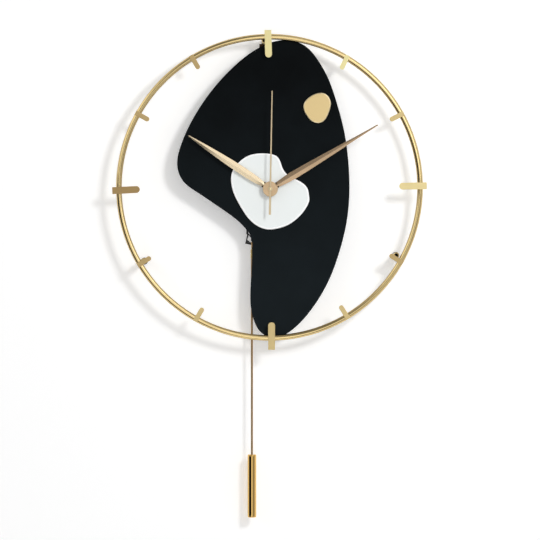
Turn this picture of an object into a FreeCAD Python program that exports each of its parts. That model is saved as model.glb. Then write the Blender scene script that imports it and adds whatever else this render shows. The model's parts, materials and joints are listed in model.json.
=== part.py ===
import FreeCAD, Part
import math
import os

# Wall pendulum clock: a gold ring dial with bar markers, a free-form black board and a quartz movement.
# Units are millimetres. X is to the right, Z is up and the front faces -Y. The wall is the plane Y = 0.
# Every depth below is a distance in front of the wall. Dial parts are drawn about the ring's centre,
# movement parts about the hand shafts, and both are moved to the frame of the nail hole at the end.

Vector = FreeCAD.Vector

# Nail hole and the two centres
hook_below_ring = 19.0
shaft_right_of_centre = 1.0
shaft_below_centre = 2.2

# Common clearances
cut_overrun = 1.0
running_clearance = 0.05
free_clearance = 0.3
screw_clearance = 0.1

# Dial ring
ring_radius = 187.0
ring_tube = 7.0

# Board and its two accent plates
wall_to_board = 25.5
board_thickness = 3.0
accent_thickness = 3.0
accent_edge_break = 0.6

# Hour bars
bar_thickness = 1.8
bar_seat_depth = 0.4
bar_edge_break = 0.3
wide_bar_width = 8.6
wide_bar_length = 34.2
wide_bar_overhang = 4.7
six_bar_drop = 6.6
narrow_bar_width = 6.0
narrow_bar_length = 19.5

# Small irregularities of a hand-brazed dial, in degrees clockwise from the top: place, then direction
bar_angles_deg = {
    1: (31.0, 26.2),
    2: (61.0, 63.4),
    3: (89.5, 89.2),
    4: (119.5, 122.0),
    5: (149.1, 148.0),
    6: (179.2, 180.0),
    7: (209.0, 211.0),
    8: (239.4, 239.0),
    9: (268.9, 267.3),
    10: (299.1, 299.1),
    11: (329.2, 330.0),
    12: (-0.5, -1.6),
}

# Wall spacers, pads and hanger plate. Each spacer's place is in degrees clockwise from the top,
# then its distance inward from the ring's centre line.
spacer_radius = 3.65
spacer_wall = 1.2
spacer_slit = 1.6
spacer_slit_deg = 135.0
spacer_inset_04 = 8.3
spacer_inset_08 = 5.9
spacer_inset_12 = 4.6
spacer_places = {
    4: (118.2, spacer_inset_04),
    8: (239.65, spacer_inset_08),
    12: (-1.95, spacer_inset_12),
}
pad_margin = 0.75
pad_thickness = 1.5
hanger_thickness = 1.5
hanger_left = 12.7
hanger_right = 8.0
hanger_top_margin = 11.7
hanger_bottom_margin = 13.0
nail_hole_radius = 4.0

# Board studs
stud_radius = 1.5
stud_from_tip = 9.5
sleeve_radius = 3.0
stud_nut_flats = 5.5
stud_nut_thickness = 2.4
stud_tail = 0.8

# Movement housing, drawn about the hand shafts
gasket_thickness = 0.5
movement_above = 26.0
movement_wall = 1.2
movement_corner = 2.0
cover_thickness = 1.2
cover_boss_radius = 1.5
cover_boss_length = 2.2
case_screw_side_inset = 3.5
case_screw_top_inset = 3.7
case_post_wall = 1.1
case_screw_radius = 0.9
case_screw_rim = 0.8
case_screw_head = 0.8
case_screw_length = 8.0

# Bushing stack on the front of the board
bushing_wall = 1.55
bushing_flange_rim = 2.5
washer_rim = 3.5
washer_thickness = 0.5
fixing_nut_wall = 1.5
fixing_nut_thickness = 2.4

# Tooth form, as shares of the pitch angle and of the module
tooth_root_share = 0.28
tooth_pitch_share = 0.21
tooth_tip_share = 0.10
tooth_addendum_share = 0.8
tooth_dedendum_share = 1.2

# Tooth counts
rotor_teeth = 10
intermediate_teeth = 60
intermediate_pinion_teeth = 12
second_teeth = 60
second_pinion_teeth = 10
third_teeth = 75
third_pinion_teeth = 10
centre_teeth = 80
cannon_teeth = 12
motion_teeth = 36
motion_pinion_teeth = 10
hour_teeth = 40
setting_teeth = 20

# Shaft distances, and the direction from each shaft to the next in degrees from +X towards +Z
second_module = 0.25
third_distance = 13.5
third_direction_deg = 175.0
motion_distance = 9.6
motion_direction_deg = 100.0
setting_direction_deg = 20.0
intermediate_direction_deg = 0.0
rotor_direction_deg = 0.0

# Wheel layers, each counted back from the inner face of the front wall
layer_gap = 0.3
wheel_thickness = 1.0
fast_wheel_thickness = 0.8
hour_wheel_gap = 0.4
middle_plate_thickness = 1.0
middle_plate_half_width = 21.5
middle_plate_above = 20.2
middle_plate_below = 12.5
plate_to_bay = 0.5
plate_post_inset = 1.5
plate_post_radius = 1.2

# Shafts and pipes
shaft_radius = 0.45
second_shaft_radius = 0.5
cannon_bore_clearance = 0.1
cannon_wall = 0.7
hour_pipe_wall = 1.05
motion_post_radius = 0.7
setting_shaft_radius = 1.0
knob_radius = 4.5
knob_thickness = 1.6
knob_grips = 12
knob_grip_radius = 0.5

# Motor
rotor_magnet_radius = 2.5
rotor_magnet_thickness = 2.0
stator_thickness = 0.8
stator_hole_radius = 3.0
stator_half_height = 4.2
stator_left = 7.1
stator_right = 7.6
stator_leg_width = 2.2
coil_above_rotor = 16.0
coil_length = 9.0
coil_radius = 3.1
bobbin_wall = 0.4
bobbin_flange = 0.6
core_height = 2.4

# Circuit board
circuit_left = 21.5
circuit_width = 19.0
circuit_edge_gap = 1.2
circuit_height = 10.0
circuit_thickness = 0.8
circuit_standoff = 0.6
circuit_peg_radius = 1.0
chip_radius = 2.6
chip_height = 0.9
crystal_radius = 1.0
crystal_length = 6.0

# Cell and contacts
cell_radius = 7.25
cell_body_length = 49.2
cell_nub_length = 1.0
cell_nub_radius = 2.7
cell_play = 0.15
bay_wall = 1.0
contact_thickness = 0.4
contact_reach = 1.3
contact_half_height = 4.5
contact_dimple_radius = 1.6

# Hands
hand_boss_radius = 10.0
hand_boss_thickness = 0.7
hand_edge = 0.35
hand_ridge = 1.3
hand_collar_wall = 1.2
hand_collar_length = 1.6
nut_to_hour_hand = 1.8
hour_to_minute_hand = 1.8
minute_to_second_hand = 2.4
hour_hand_length = 121.5
hour_hand_width = 9.9
hour_hand_deg = 303.1
minute_hand_length = 155.4
minute_hand_width = 10.0
minute_hand_deg = 59.2
second_hand_length = 121.7
second_hand_tail = 32.0
second_hand_thickness = 0.5
second_hand_base_width = 2.2
second_hand_tip_width = 1.3
second_hand_tail_width = 2.8
second_hand_deg = 1.06
second_boss_radius = 3.0
second_boss_rise = 0.4

# Blade outlines: share of the length, then share of the greatest width
hour_blade_shares = (
    (0.06, 0.52),
    (0.14, 0.80),
    (0.24, 0.97),
    (0.34, 1.00),
    (0.47, 0.95),
    (0.60, 0.82),
    (0.74, 0.62),
    (0.88, 0.38),
    (1.00, 0.15),
)
minute_blade_shares = (
    (0.05, 0.60),
    (0.11, 0.86),
    (0.20, 1.00),
    (0.34, 0.92),
    (0.50, 0.74),
    (0.65, 0.55),
    (0.80, 0.35),
    (0.92, 0.23),
    (1.00, 0.16),
)

# Pendulum drive box, drawn about the hand shafts
drive_right = 9.0
drive_height = 17.4
drive_wall = 1.2
drive_cover_thickness = 1.2
drive_slot_left = 6.2
drive_slot_right = 0.6
drive_slot_margin = 0.7
pendulum_left_of_shaft = 22.9
pivot_below_box_top = 2.4
pivot_pin_radius = 0.8
pivot_boss_radius = 2.4
drive_coil_radius = 3.4
drive_coil_bore = 1.2
drive_coil_height = 3.0
drive_magnet_radius = 2.4
drive_magnet_thickness = 1.4
drive_magnet_gap = 1.15
drive_magnet_right = 0.4
drive_magnet_drop = 7.0

# Pendulum
pendulum_behind_shell_front = 8.5
arm_thickness = 1.5
stirrup_drop = 19.0
hook_peg_radius = 0.8
hook_head_rim = 0.5
hook_head_thickness = 0.6
hook_strip_width = 1.8
hook_strip_thickness = 1.0
hook_strip_length = 5.6
hook_shank_radius = 0.8
hook_shank_length = 2.6
ferrule_wall = 0.5
ferrule_length = 10.6
ferrule_groove = 0.3
ferrule_groove_width = 1.2
rod_radius = 1.25
rod_length = 250.4
bob_radius = 5.5
bob_wall = 0.9
bob_length = 78.6
bob_plug_length = 4.0
bob_plug_rim = 1.8
bob_end_round = 1.4

# Board outline from its inner corner, clockwise: shares of the ring's radius, right and up
board_outline_shares = (
    (-0.1482, -0.2877),
    (-0.204, -0.228),
    (-0.320, -0.1415),
    (-0.478, -0.0346),
    (-0.573, 0.040),
    (-0.607, 0.108),
    (-0.613, 0.1814),
    (-0.591, 0.2744),
    (-0.548, 0.3807),
    (-0.475, 0.5136),
    (-0.382, 0.6465),
    (-0.2625, 0.779),
    (-0.189, 0.8459),
    (-0.0718, 0.9276),
    (0.0233, 0.9674),
    (0.1163, 0.979),
    (0.2279, 0.9462),
    (0.3223, 0.8459),
    (0.3953, 0.713),
    (0.4419, 0.580),
    (0.495, 0.3807),
    (0.526, 0.1482),
    (0.5316, -0.018),
    (0.515, -0.2173),
    (0.4684, -0.4166),
    (0.3953, -0.616),
    (0.2757, -0.8153),
    (0.1495, -0.9482),
    (0.0365, -0.9987),
    (-0.0565, -0.9641),
    (-0.1083, -0.8684),
    (-0.1236, -0.802),
    (-0.1276, -0.7156),
    (-0.1216, -0.5827),
    (-0.1156, -0.483),
    (-0.115, -0.4166),
    (-0.117, -0.3568),
    (-0.1269, -0.3203),
)
pale_plate_shares = (
    (0.2605, -0.0379),
    (0.2326, 0.0186),
    (0.184, 0.0492),
    (0.1156, 0.0884),
    (0.0877, 0.1269),
    (0.0718, 0.1714),
    (0.0512, 0.204),
    (0.0153, 0.220),
    (-0.0412, 0.2259),
    (-0.0977, 0.2219),
    (-0.1621, 0.1993),
    (-0.210, 0.1595),
    (-0.2465, 0.107),
    (-0.2558, 0.0425),
    (-0.2385, -0.0379),
    (-0.194, -0.1262),
    (-0.1462, -0.1987),
    (-0.0897, -0.2512),
    (-0.0173, -0.2791),
    (0.0472, -0.2751),
    (0.1276, -0.2472),
    (0.2007, -0.1907),
    (0.2445, -0.1342),
    (0.2651, -0.0784),
)
gold_plate_shares = (
    (0.338, 0.629),
    (0.381, 0.6146),
    (0.408, 0.5628),
    (0.400, 0.513),
    (0.3774, 0.4598),
    (0.354, 0.4346),
    (0.3183, 0.4259),
    (0.283, 0.4365),
    (0.2472, 0.4738),
    (0.2239, 0.531),
    (0.2332, 0.5661),
    (0.2738, 0.6073),
)

# Swing arm, right side then left side: shares of the neck from the pivot to the drive box's floor
arm_neck_right_shares = (
    (0.067, -0.111),
    (-0.118, -0.593),
    (-0.178, -1.02),
)
arm_neck_left_shares = (
    (-0.325, -1.015),
    (-0.267, -0.593),
    (-0.140, -0.075),
)

# Stirrup at the arm's end: shares of its drop below the drive box's floor
stirrup_outline_shares = (
    (-0.236, -0.0895),
    (-0.236, -0.367),
    (-0.058, -0.558),
    (0.015, -0.753),
    (0.103, -0.974),
    (0.084, -1.089),
    (0.021, -1.121),
    (-0.099, -1.126),
    (-0.448, -1.053),
    (-0.431, -0.990),
    (-0.316, -0.473),
    (-0.368, -0.405),
    (-0.368, -0.068),
)
stirrup_hole_shares = (
    (-0.214, -0.506),
    (-0.068, -0.653),
    (-0.058, -0.868),
    (0.021, -0.974),
    (-0.031, -1.021),
    (-0.127, -0.942),
    (-0.305, -0.785),
)

# Places and radii that follow from the sizes above
hook_above_centre = ring_radius - hook_below_ring
cannon_bore_radius = second_shaft_radius + cannon_bore_clearance
cannon_radius = cannon_bore_radius + cannon_wall
hour_bore_radius = cannon_radius + running_clearance
hour_pipe_radius = hour_bore_radius + hour_pipe_wall
bushing_bore_radius = hour_pipe_radius + running_clearance
bushing_radius = bushing_bore_radius + bushing_wall
bushing_flange_radius = bushing_radius + bushing_flange_rim
movement_half_width = (
    (cell_body_length + cell_nub_length) / 2 + contact_reach + contact_thickness + movement_wall
)
movement_depth = movement_wall + 2 * (cell_radius + cell_play)
movement_below = middle_plate_below + plate_to_bay + bay_wall + movement_depth
case_screw_x = movement_half_width - case_screw_side_inset
case_screw_z = movement_above - case_screw_top_inset
case_screw_head_radius = case_screw_radius + case_screw_rim
plate_post_x = middle_plate_half_width - plate_post_inset
plate_post_places = (middle_plate_above - plate_post_inset, plate_post_inset - middle_plate_below)
circuit_bottom = movement_above - movement_wall - circuit_edge_gap - circuit_height
ferrule_radius = rod_radius + ferrule_wall

# Depths that follow from the sizes above
board_front = wall_to_board + board_thickness
ring_depth = board_front + ring_tube / 2
ring_front = ring_depth + ring_tube / 2
bar_back = ring_front - bar_seat_depth
bar_front = bar_back + bar_thickness
accent_front = board_front + accent_thickness
shell_front = wall_to_board - gasket_thickness
shell_back = shell_front - movement_depth
shell_inner_front = shell_front - movement_wall
cover_front = shell_back + cover_thickness
nut_back = accent_front + washer_thickness
nut_front = nut_back + fixing_nut_thickness
hour_hand_back = nut_front + nut_to_hour_hand
hour_hand_front = hour_hand_back + hand_ridge
minute_hand_back = hour_hand_front + hour_to_minute_hand
minute_hand_front = minute_hand_back + hand_ridge
second_hand_back = minute_hand_front + minute_to_second_hand

# Wheel layers from front to back
hour_layer_front = shell_inner_front - hour_wheel_gap
hour_layer_back = hour_layer_front - wheel_thickness
motion_layer_front = hour_layer_back - layer_gap
motion_layer_back = motion_layer_front - wheel_thickness
centre_layer_front = motion_layer_back - layer_gap
centre_layer_back = centre_layer_front - wheel_thickness
third_layer_front = centre_layer_back - layer_gap
third_layer_back = third_layer_front - wheel_thickness
plate_front = third_layer_back - layer_gap
plate_back = plate_front - middle_plate_thickness
second_layer_front = plate_back - layer_gap
second_layer_back = second_layer_front - fast_wheel_thickness
intermediate_layer_front = second_layer_back - layer_gap
intermediate_layer_back = intermediate_layer_front - fast_wheel_thickness
magnet_front = intermediate_layer_back - layer_gap
magnet_back = magnet_front - rotor_magnet_thickness
motor_depth = (magnet_front + magnet_back) / 2
boss_front = cover_front + cover_boss_length


def direction(angle_deg, length):
    """A step in the plane of the wheels, from +X towards +Z."""
    angle = math.radians(angle_deg)
    return length * math.cos(angle), length * math.sin(angle)


def clock_place(angle_deg, radius):
    """A place on the dial, clockwise from the top."""
    angle = math.radians(angle_deg)
    return radius * math.sin(angle), radius * math.cos(angle)


def block(left, right, back, front, bottom, top):
    """A box between two depths in front of the wall."""
    corner = Vector(left, -front, bottom)
    return Part.makeBox(right - left, front - back, top - bottom, corner)


def rod(x, z, back, front, radius):
    """A round bar that points out of the wall."""
    return Part.makeCylinder(radius, front - back, Vector(x, -back, z), Vector(0, -1, 0))


def tube(x, z, back, front, radius, bore):
    """A round tube that points out of the wall."""
    return rod(x, z, back, front, radius).cut(rod(x, z, back - cut_overrun, front + cut_overrun, bore))


def prism(points, back, front):
    """A flat plate from an outline of (x, z) points."""
    corners = [Vector(x, -back, z) for x, z in points]
    face = Part.Face(Part.makePolygon(corners + corners[:1]))
    return face.extrude(Vector(0, back - front, 0))


def smooth_plate(shares, back, front, corner=False):
    """A flat plate whose edge runs smoothly through shares of the ring's radius."""
    points = [Vector(x * ring_radius, -back, z * ring_radius) for x, z in shares]
    edge = Part.BSplineCurve()
    if corner:
        edge.interpolate(points + points[:1])
    else:
        edge.interpolate(Points=points, PeriodicFlag=True)
    face = Part.Face(Part.Wire(edge.toShape()))
    return face.extrude(Vector(0, back - front, 0))


def hexagon(x, z, back, front, flats):
    """A hexagonal bar, sized across its flats."""
    corner_radius = flats / math.sqrt(3)
    sixth = math.radians(60)
    points = [
        (x + corner_radius * math.cos(i * sixth), z + corner_radius * math.sin(i * sixth))
        for i in range(6)
    ]
    return prism(points, back, front)


def turned(shape, angle_deg):
    """The shape turned clockwise about the centre, as seen from the front."""
    shape.rotate(Vector(0, 0, 0), Vector(0, 1, 0), angle_deg)
    return shape


def moved(shape, x, z):
    """The shape moved in the plane of the wall."""
    shape.translate(Vector(x, 0, z))
    return shape


def group(solids):
    """Separate solids that share one node."""
    return Part.makeCompound(solids)


def front_edges(shape, front):
    """The edges that lie in the front face of a flat piece."""
    near = running_clearance
    return [
        edge
        for edge in shape.Edges
        if abs(edge.BoundBox.YMin + front) < near and abs(edge.BoundBox.YMax + front) < near
    ]


def level_edges(shape, height):
    """The round edges that lie level at one height."""
    near = running_clearance
    return [
        edge
        for edge in shape.Edges
        if abs(edge.BoundBox.ZMin - height) < near and abs(edge.BoundBox.ZMax - height) < near
    ]


def depth_edges(shape):
    """The straight edges that point out of the wall."""
    near = running_clearance
    return [edge for edge in shape.Edges if max(edge.BoundBox.XLength, edge.BoundBox.ZLength) < near]


# Gears


def gear(teeth, module, back, front, x=0.0, z=0.0, phase_deg=0.0):
    """A spur wheel whose first tooth points in the direction phase_deg."""
    pitch_radius = teeth * module / 2
    root = pitch_radius - tooth_dedendum_share * module
    tip = pitch_radius + tooth_addendum_share * module
    flank = (
        (-tooth_root_share, root),
        (-tooth_pitch_share, pitch_radius),
        (-tooth_tip_share, tip),
        (tooth_tip_share, tip),
        (tooth_pitch_share, pitch_radius),
        (tooth_root_share, root),
    )
    points = []
    for tooth in range(teeth):
        for share, radius in flank:
            dx, dz = direction(phase_deg + (tooth + share) * 360 / teeth, radius)
            points.append((x + dx, z + dz))
    return prism(points, back, front)


def mesh_phase(phase_deg, teeth, next_teeth, direction_deg):
    """The phase that puts a gap of the next wheel on the tooth of the first one."""
    pitch_deg = 360 / teeth
    offset_deg = (phase_deg - direction_deg) % pitch_deg
    half_gap_deg = 180 / next_teeth
    return direction_deg + 180 - offset_deg * teeth / next_teeth + half_gap_deg


third_x, third_z = direction(third_direction_deg, third_distance)
motion_x, motion_z = direction(motion_direction_deg, motion_distance)
second_third_module = 2 * third_distance / (second_pinion_teeth + third_teeth)
third_centre_module = 2 * third_distance / (third_pinion_teeth + centre_teeth)
cannon_motion_module = 2 * motion_distance / (cannon_teeth + motion_teeth)
motion_hour_module = 2 * motion_distance / (motion_pinion_teeth + hour_teeth)
setting_distance = cannon_motion_module * (motion_teeth + setting_teeth) / 2
intermediate_distance = second_module * (intermediate_pinion_teeth + second_teeth) / 2
rotor_distance = second_module * (rotor_teeth + intermediate_teeth) / 2
setting_step_x, setting_step_z = direction(setting_direction_deg, setting_distance)
setting_x = motion_x + setting_step_x
setting_z = motion_z + setting_step_z
intermediate_x, intermediate_z = direction(intermediate_direction_deg, intermediate_distance)
rotor_step_x, rotor_step_z = direction(rotor_direction_deg, rotor_distance)
rotor_x = intermediate_x + rotor_step_x
rotor_z = intermediate_z + rotor_step_z


# Dial


def make_bar(hour):
    """One flat marker, round at its inner end, with its seat on the front of the ring."""
    wide = hour % 3 == 0
    width = wide_bar_width if wide else narrow_bar_width
    length = wide_bar_length if wide else narrow_bar_length
    outer = ring_radius + ring_tube / 2 + (wide_bar_overhang if wide else 0)
    outer += six_bar_drop if hour == 6 else 0
    round_z = (width - length) / 2
    bar = block(-width / 2, width / 2, bar_back, bar_front, round_z, length / 2)
    bar = bar.fuse(rod(0, round_z, bar_back, bar_front, width / 2)).removeSplitter()
    bar = bar.makeChamfer(bar_edge_break, front_edges(bar, bar_front))
    place_deg, lean_deg = bar_angles_deg[hour]
    return moved(turned(bar, lean_deg), *clock_place(place_deg, outer - length / 2))


def stud_place(hour):
    """Where the stud stands on the back of a wide bar."""
    outer = ring_radius + ring_tube / 2 + wide_bar_overhang + (six_bar_drop if hour == 6 else 0)
    place_deg, lean_deg = bar_angles_deg[hour]
    middle_x, middle_z = clock_place(place_deg, outer - wide_bar_length / 2)
    inward_x, inward_z = clock_place(lean_deg, wide_bar_length / 2 - stud_from_tip)
    return middle_x - inward_x, middle_z - inward_z


def make_ring(bars):
    """The bent rod, with a shallow flat under each bar."""
    ring = Part.makeTorus(ring_radius, ring_tube / 2, Vector(0, -ring_depth, 0), Vector(0, 1, 0))
    for bar in bars:
        ring = ring.cut(bar)
    return ring


def spacer_place(hour):
    """Where a wall spacer stands behind the ring."""
    place_deg, inset = spacer_places[hour]
    return clock_place(place_deg, ring_radius - inset)


def make_spacer(hour, back, front, ring):
    """A rolled tube with an open seam, coped where it meets the ring."""
    bore = spacer_radius - spacer_wall
    spacer = tube(0, 0, back, front, spacer_radius, bore)
    slit = block(
        -spacer_slit / 2,
        spacer_slit / 2,
        back - cut_overrun,
        front + cut_overrun,
        0,
        spacer_radius + cut_overrun,
    )
    spacer = spacer.cut(turned(slit, spacer_slit_deg))
    return moved(spacer, *spacer_place(hour)).cut(ring)


def make_pad(hour):
    """A soft disc between a lower spacer and the wall."""
    x, z = spacer_place(hour)
    return rod(x, z, 0, pad_thickness, spacer_radius + pad_margin)


def make_hanger_plate():
    """The plate with the nail hole, and a tongue behind the 12 o'clock spacer."""
    top = hook_above_centre + hanger_top_margin
    bottom = hook_above_centre - hanger_bottom_margin
    plate = block(-hanger_left, hanger_right, 0, hanger_thickness, bottom, top)
    spacer_x, spacer_z = spacer_place(12)
    tongue = block(
        spacer_x - spacer_radius,
        spacer_x + spacer_radius,
        0,
        hanger_thickness,
        hook_above_centre,
        spacer_z,
    )
    tongue = tongue.fuse(rod(spacer_x, spacer_z, 0, hanger_thickness, spacer_radius))
    nail_hole = rod(0, hook_above_centre, -cut_overrun, hanger_thickness + cut_overrun, nail_hole_radius)
    return plate.fuse(tongue).cut(nail_hole).removeSplitter()


def make_board():
    """The free-form board, with holes for the studs and the movement's bushing."""
    board = smooth_plate(board_outline_shares, wall_to_board, board_front, corner=True)
    holes = [bushing_hole(wall_to_board, board_front)]
    for hour in (12, 6):
        x, z = stud_place(hour)
        hole_radius = stud_radius + screw_clearance
        holes.append(rod(x, z, wall_to_board - cut_overrun, board_front + cut_overrun, hole_radius))
    for hole in holes:
        board = board.cut(hole)
    return board


def bushing_hole(back, front):
    """The cut for the threaded bushing."""
    radius = bushing_radius + screw_clearance
    return rod(
        shaft_right_of_centre,
        -shaft_below_centre,
        back - cut_overrun,
        front + cut_overrun,
        radius,
    )


def make_accent(shares):
    """A raised plate on the board, with its front edge broken."""
    plate = smooth_plate(shares, board_front, accent_front)
    return plate.makeChamfer(accent_edge_break, front_edges(plate, accent_front))


def make_stud(hour):
    """A threaded stud on the back of a bar."""
    x, z = stud_place(hour)
    back = wall_to_board - stud_nut_thickness - stud_tail
    return rod(x, z, back, bar_back, stud_radius)


def make_sleeve(hour):
    """The distance sleeve between a bar and the board."""
    x, z = stud_place(hour)
    return tube(x, z, board_front, bar_back, sleeve_radius, stud_radius)


def make_stud_nut(hour):
    """The nut on the back of the board."""
    x, z = stud_place(hour)
    back = wall_to_board - stud_nut_thickness
    nut = hexagon(x, z, back, wall_to_board, stud_nut_flats)
    return nut.cut(rod(x, z, back - cut_overrun, wall_to_board + cut_overrun, stud_radius))


# Movement housing


def make_gasket():
    """The soft sheet between the movement and the board."""
    sheet = block(
        -movement_half_width,
        movement_half_width,
        shell_front,
        wall_to_board,
        -movement_below,
        movement_above,
    )
    return sheet.cut(rod(0, 0, shell_front - cut_overrun, wall_to_board + cut_overrun, bushing_flange_radius))


def bay_top():
    """The height of the cell bay's upper face."""
    return -movement_below + movement_wall + 2 * (cell_radius + cell_play)


def make_front_shell():
    """The moulded case: a tray with posts, bosses and the wall of the cell bay."""
    outer = block(
        -movement_half_width,
        movement_half_width,
        cover_front,
        shell_front,
        -movement_below,
        movement_above,
    )
    outer = outer.makeFillet(movement_corner, depth_edges(outer))
    inner = block(
        movement_wall - movement_half_width,
        movement_half_width - movement_wall,
        cover_front - cut_overrun,
        shell_inner_front,
        movement_wall - movement_below,
        movement_above - movement_wall,
    )
    shell = outer.cut(inner)
    shell = shell.fuse(
        block(
            -movement_half_width + movement_wall,
            movement_half_width - movement_wall,
            cover_front,
            shell_inner_front,
            bay_top(),
            bay_top() + bay_wall,
        )
    )
    for side in (-1, 1):
        post_radius = case_screw_radius + case_post_wall
        post = rod(side * case_screw_x, case_screw_z, cover_front, shell_inner_front, post_radius)
        post = post.common(inner)
        bore_back = cover_front - cut_overrun
        bore_front = cover_front + case_screw_length
        shell = shell.fuse(post)
        shell = shell.cut(rod(side * case_screw_x, case_screw_z, bore_back, bore_front, case_screw_radius))
        for height in plate_post_places:
            shell = shell.fuse(
                rod(side * plate_post_x, height, plate_front, shell_inner_front, plate_post_radius)
            )
    third_boss = tube(
        third_x,
        third_z,
        hour_layer_back,
        shell_inner_front,
        shaft_radius + running_clearance + bay_wall,
        shaft_radius + running_clearance,
    )
    motion_post = rod(motion_x, motion_z, motion_layer_back, shell_inner_front, motion_post_radius)
    shell = shell.fuse(third_boss).fuse(motion_post)
    return shell.cut(rod(0, 0, shell_inner_front - cut_overrun, shell_front + cut_overrun, bushing_radius))


def make_rear_cover():
    """The flat cover, open over the cell, with bearing bosses and pegs for the circuit board."""
    cover = block(
        -movement_half_width,
        movement_half_width,
        shell_back,
        cover_front,
        -movement_below,
        movement_above,
    )
    cover = cover.makeFillet(movement_corner, depth_edges(cover))
    bay = block(
        movement_wall - movement_half_width,
        movement_half_width - movement_wall,
        shell_back - cut_overrun,
        cover_front + cut_overrun,
        movement_wall - movement_below,
        bay_top(),
    )
    cover = cover.cut(bay)
    for x, z in ((0, 0), (intermediate_x, intermediate_z), (rotor_x, rotor_z)):
        cover = cover.fuse(rod(x, z, cover_front, boss_front, cover_boss_radius))
        cover = cover.cut(rod(x, z, cover_front, boss_front + cut_overrun, shaft_radius + running_clearance))
    for x in circuit_pegs():
        height = circuit_bottom + circuit_height / 2
        cover = cover.fuse(rod(x, height, cover_front, cover_front + circuit_standoff, circuit_peg_radius))
    back = shell_back - cut_overrun
    front = cover_front + cut_overrun
    sink_front = shell_back + case_screw_head
    hole_radius = case_screw_radius + screw_clearance
    head_radius = case_screw_head_radius + screw_clearance
    for x in (-case_screw_x, case_screw_x):
        cover = cover.cut(rod(x, case_screw_z, back, front, hole_radius))
        cover = cover.cut(rod(x, case_screw_z, back, sink_front, head_radius))
    knob_hole_radius = setting_shaft_radius + running_clearance
    return cover.cut(rod(setting_x, setting_z, back, front, knob_hole_radius))


def make_case_screw(side):
    """A cover screw with a slot in its head."""
    x = side * case_screw_x
    head_front = shell_back + case_screw_head
    head = rod(x, case_screw_z, shell_back, head_front, case_screw_head_radius)
    shank = rod(x, case_screw_z, shell_back, cover_front + case_screw_length, case_screw_radius)
    slot = block(
        x - case_screw_head_radius,
        x + case_screw_head_radius,
        shell_back - cut_overrun,
        shell_back + case_screw_head / 2,
        case_screw_z - case_screw_head / 4,
        case_screw_z + case_screw_head / 4,
    )
    return head.fuse(shank).cut(slot)


def make_bushing():
    """The threaded bushing that carries the movement, with a flange inside the gasket."""
    flange = rod(0, 0, shell_front, wall_to_board, bushing_flange_radius)
    barrel = rod(0, 0, shell_inner_front, nut_front, bushing_radius)
    bore = rod(0, 0, shell_inner_front - cut_overrun, nut_front + cut_overrun, bushing_bore_radius)
    return flange.fuse(barrel).cut(bore)


def make_washer():
    """The washer on the front of the pale plate."""
    hole_radius = bushing_radius + screw_clearance
    return tube(0, 0, accent_front, nut_back, bushing_radius + washer_rim, hole_radius)


def make_fixing_nut():
    """The hexagonal nut that clamps the movement to the board."""
    nut = hexagon(0, 0, nut_back, nut_front, 2 * (bushing_radius + fixing_nut_wall))
    return nut.cut(rod(0, 0, nut_back - cut_overrun, nut_front + cut_overrun, bushing_radius))


# Gear train

centre_phase_deg = third_direction_deg
second_pinion_phase_deg = third_direction_deg
third_phase_deg = mesh_phase(second_pinion_phase_deg, second_pinion_teeth, third_teeth, third_direction_deg)
third_pinion_phase_deg = mesh_phase(centre_phase_deg, centre_teeth, third_pinion_teeth, third_direction_deg)
cannon_phase_deg = motion_direction_deg
motion_phase_deg = mesh_phase(cannon_phase_deg, cannon_teeth, motion_teeth, motion_direction_deg)
motion_pinion_phase_deg = motion_direction_deg + 180
hour_phase_deg = mesh_phase(
    motion_pinion_phase_deg, motion_pinion_teeth, hour_teeth, motion_direction_deg + 180
)
setting_phase_deg = mesh_phase(motion_phase_deg, motion_teeth, setting_teeth, setting_direction_deg)
intermediate_pinion_phase_deg = intermediate_direction_deg + 180
second_phase_deg = mesh_phase(
    intermediate_pinion_phase_deg,
    intermediate_pinion_teeth,
    second_teeth,
    intermediate_direction_deg + 180,
)
rotor_phase_deg = rotor_direction_deg + 180
intermediate_phase_deg = mesh_phase(
    rotor_phase_deg, rotor_teeth, intermediate_teeth, rotor_direction_deg + 180
)


def make_middle_plate():
    """The plate between the slow and the fast wheels, which holds the inner shaft ends."""
    plate = block(
        -middle_plate_half_width,
        middle_plate_half_width,
        plate_back,
        plate_front,
        -middle_plate_below,
        middle_plate_above,
    )
    bearings = (
        (0, 0, second_shaft_radius),
        (third_x, third_z, shaft_radius),
        (intermediate_x, intermediate_z, shaft_radius),
        (rotor_x, rotor_z, shaft_radius),
        (setting_x, setting_z, setting_shaft_radius),
    )
    for x, z, radius in bearings:
        hole_radius = radius + running_clearance
        plate = plate.cut(rod(x, z, plate_back - cut_overrun, plate_front + cut_overrun, hole_radius))
    return plate


def make_second_wheel():
    """The second wheel and its pinion on the long shaft that carries the second hand."""
    front = second_hand_back + second_hand_thickness
    wheel = gear(
        second_teeth,
        second_module,
        second_layer_back,
        second_layer_front,
        phase_deg=second_phase_deg,
    )
    pinion = gear(
        second_pinion_teeth,
        second_third_module,
        third_layer_back,
        third_layer_front,
        phase_deg=second_pinion_phase_deg,
    )
    rear_shaft = rod(0, 0, boss_front - cover_boss_length / 2, second_layer_front, shaft_radius)
    front_shaft = rod(0, 0, second_layer_back, front, second_shaft_radius)
    return wheel.fuse(pinion).fuse(rear_shaft).fuse(front_shaft)


def make_third_wheel():
    """The third wheel and its pinion."""
    wheel = gear(
        third_teeth,
        second_third_module,
        third_layer_back,
        third_layer_front,
        third_x,
        third_z,
        third_phase_deg,
    )
    pinion = gear(
        third_pinion_teeth,
        third_centre_module,
        third_layer_front,
        centre_layer_front,
        third_x,
        third_z,
        third_pinion_phase_deg,
    )
    shaft_back = plate_back + layer_gap / 2
    shaft_front = hour_layer_back + wheel_thickness / 2
    return wheel.fuse(pinion).fuse(rod(third_x, third_z, shaft_back, shaft_front, shaft_radius))


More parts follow.
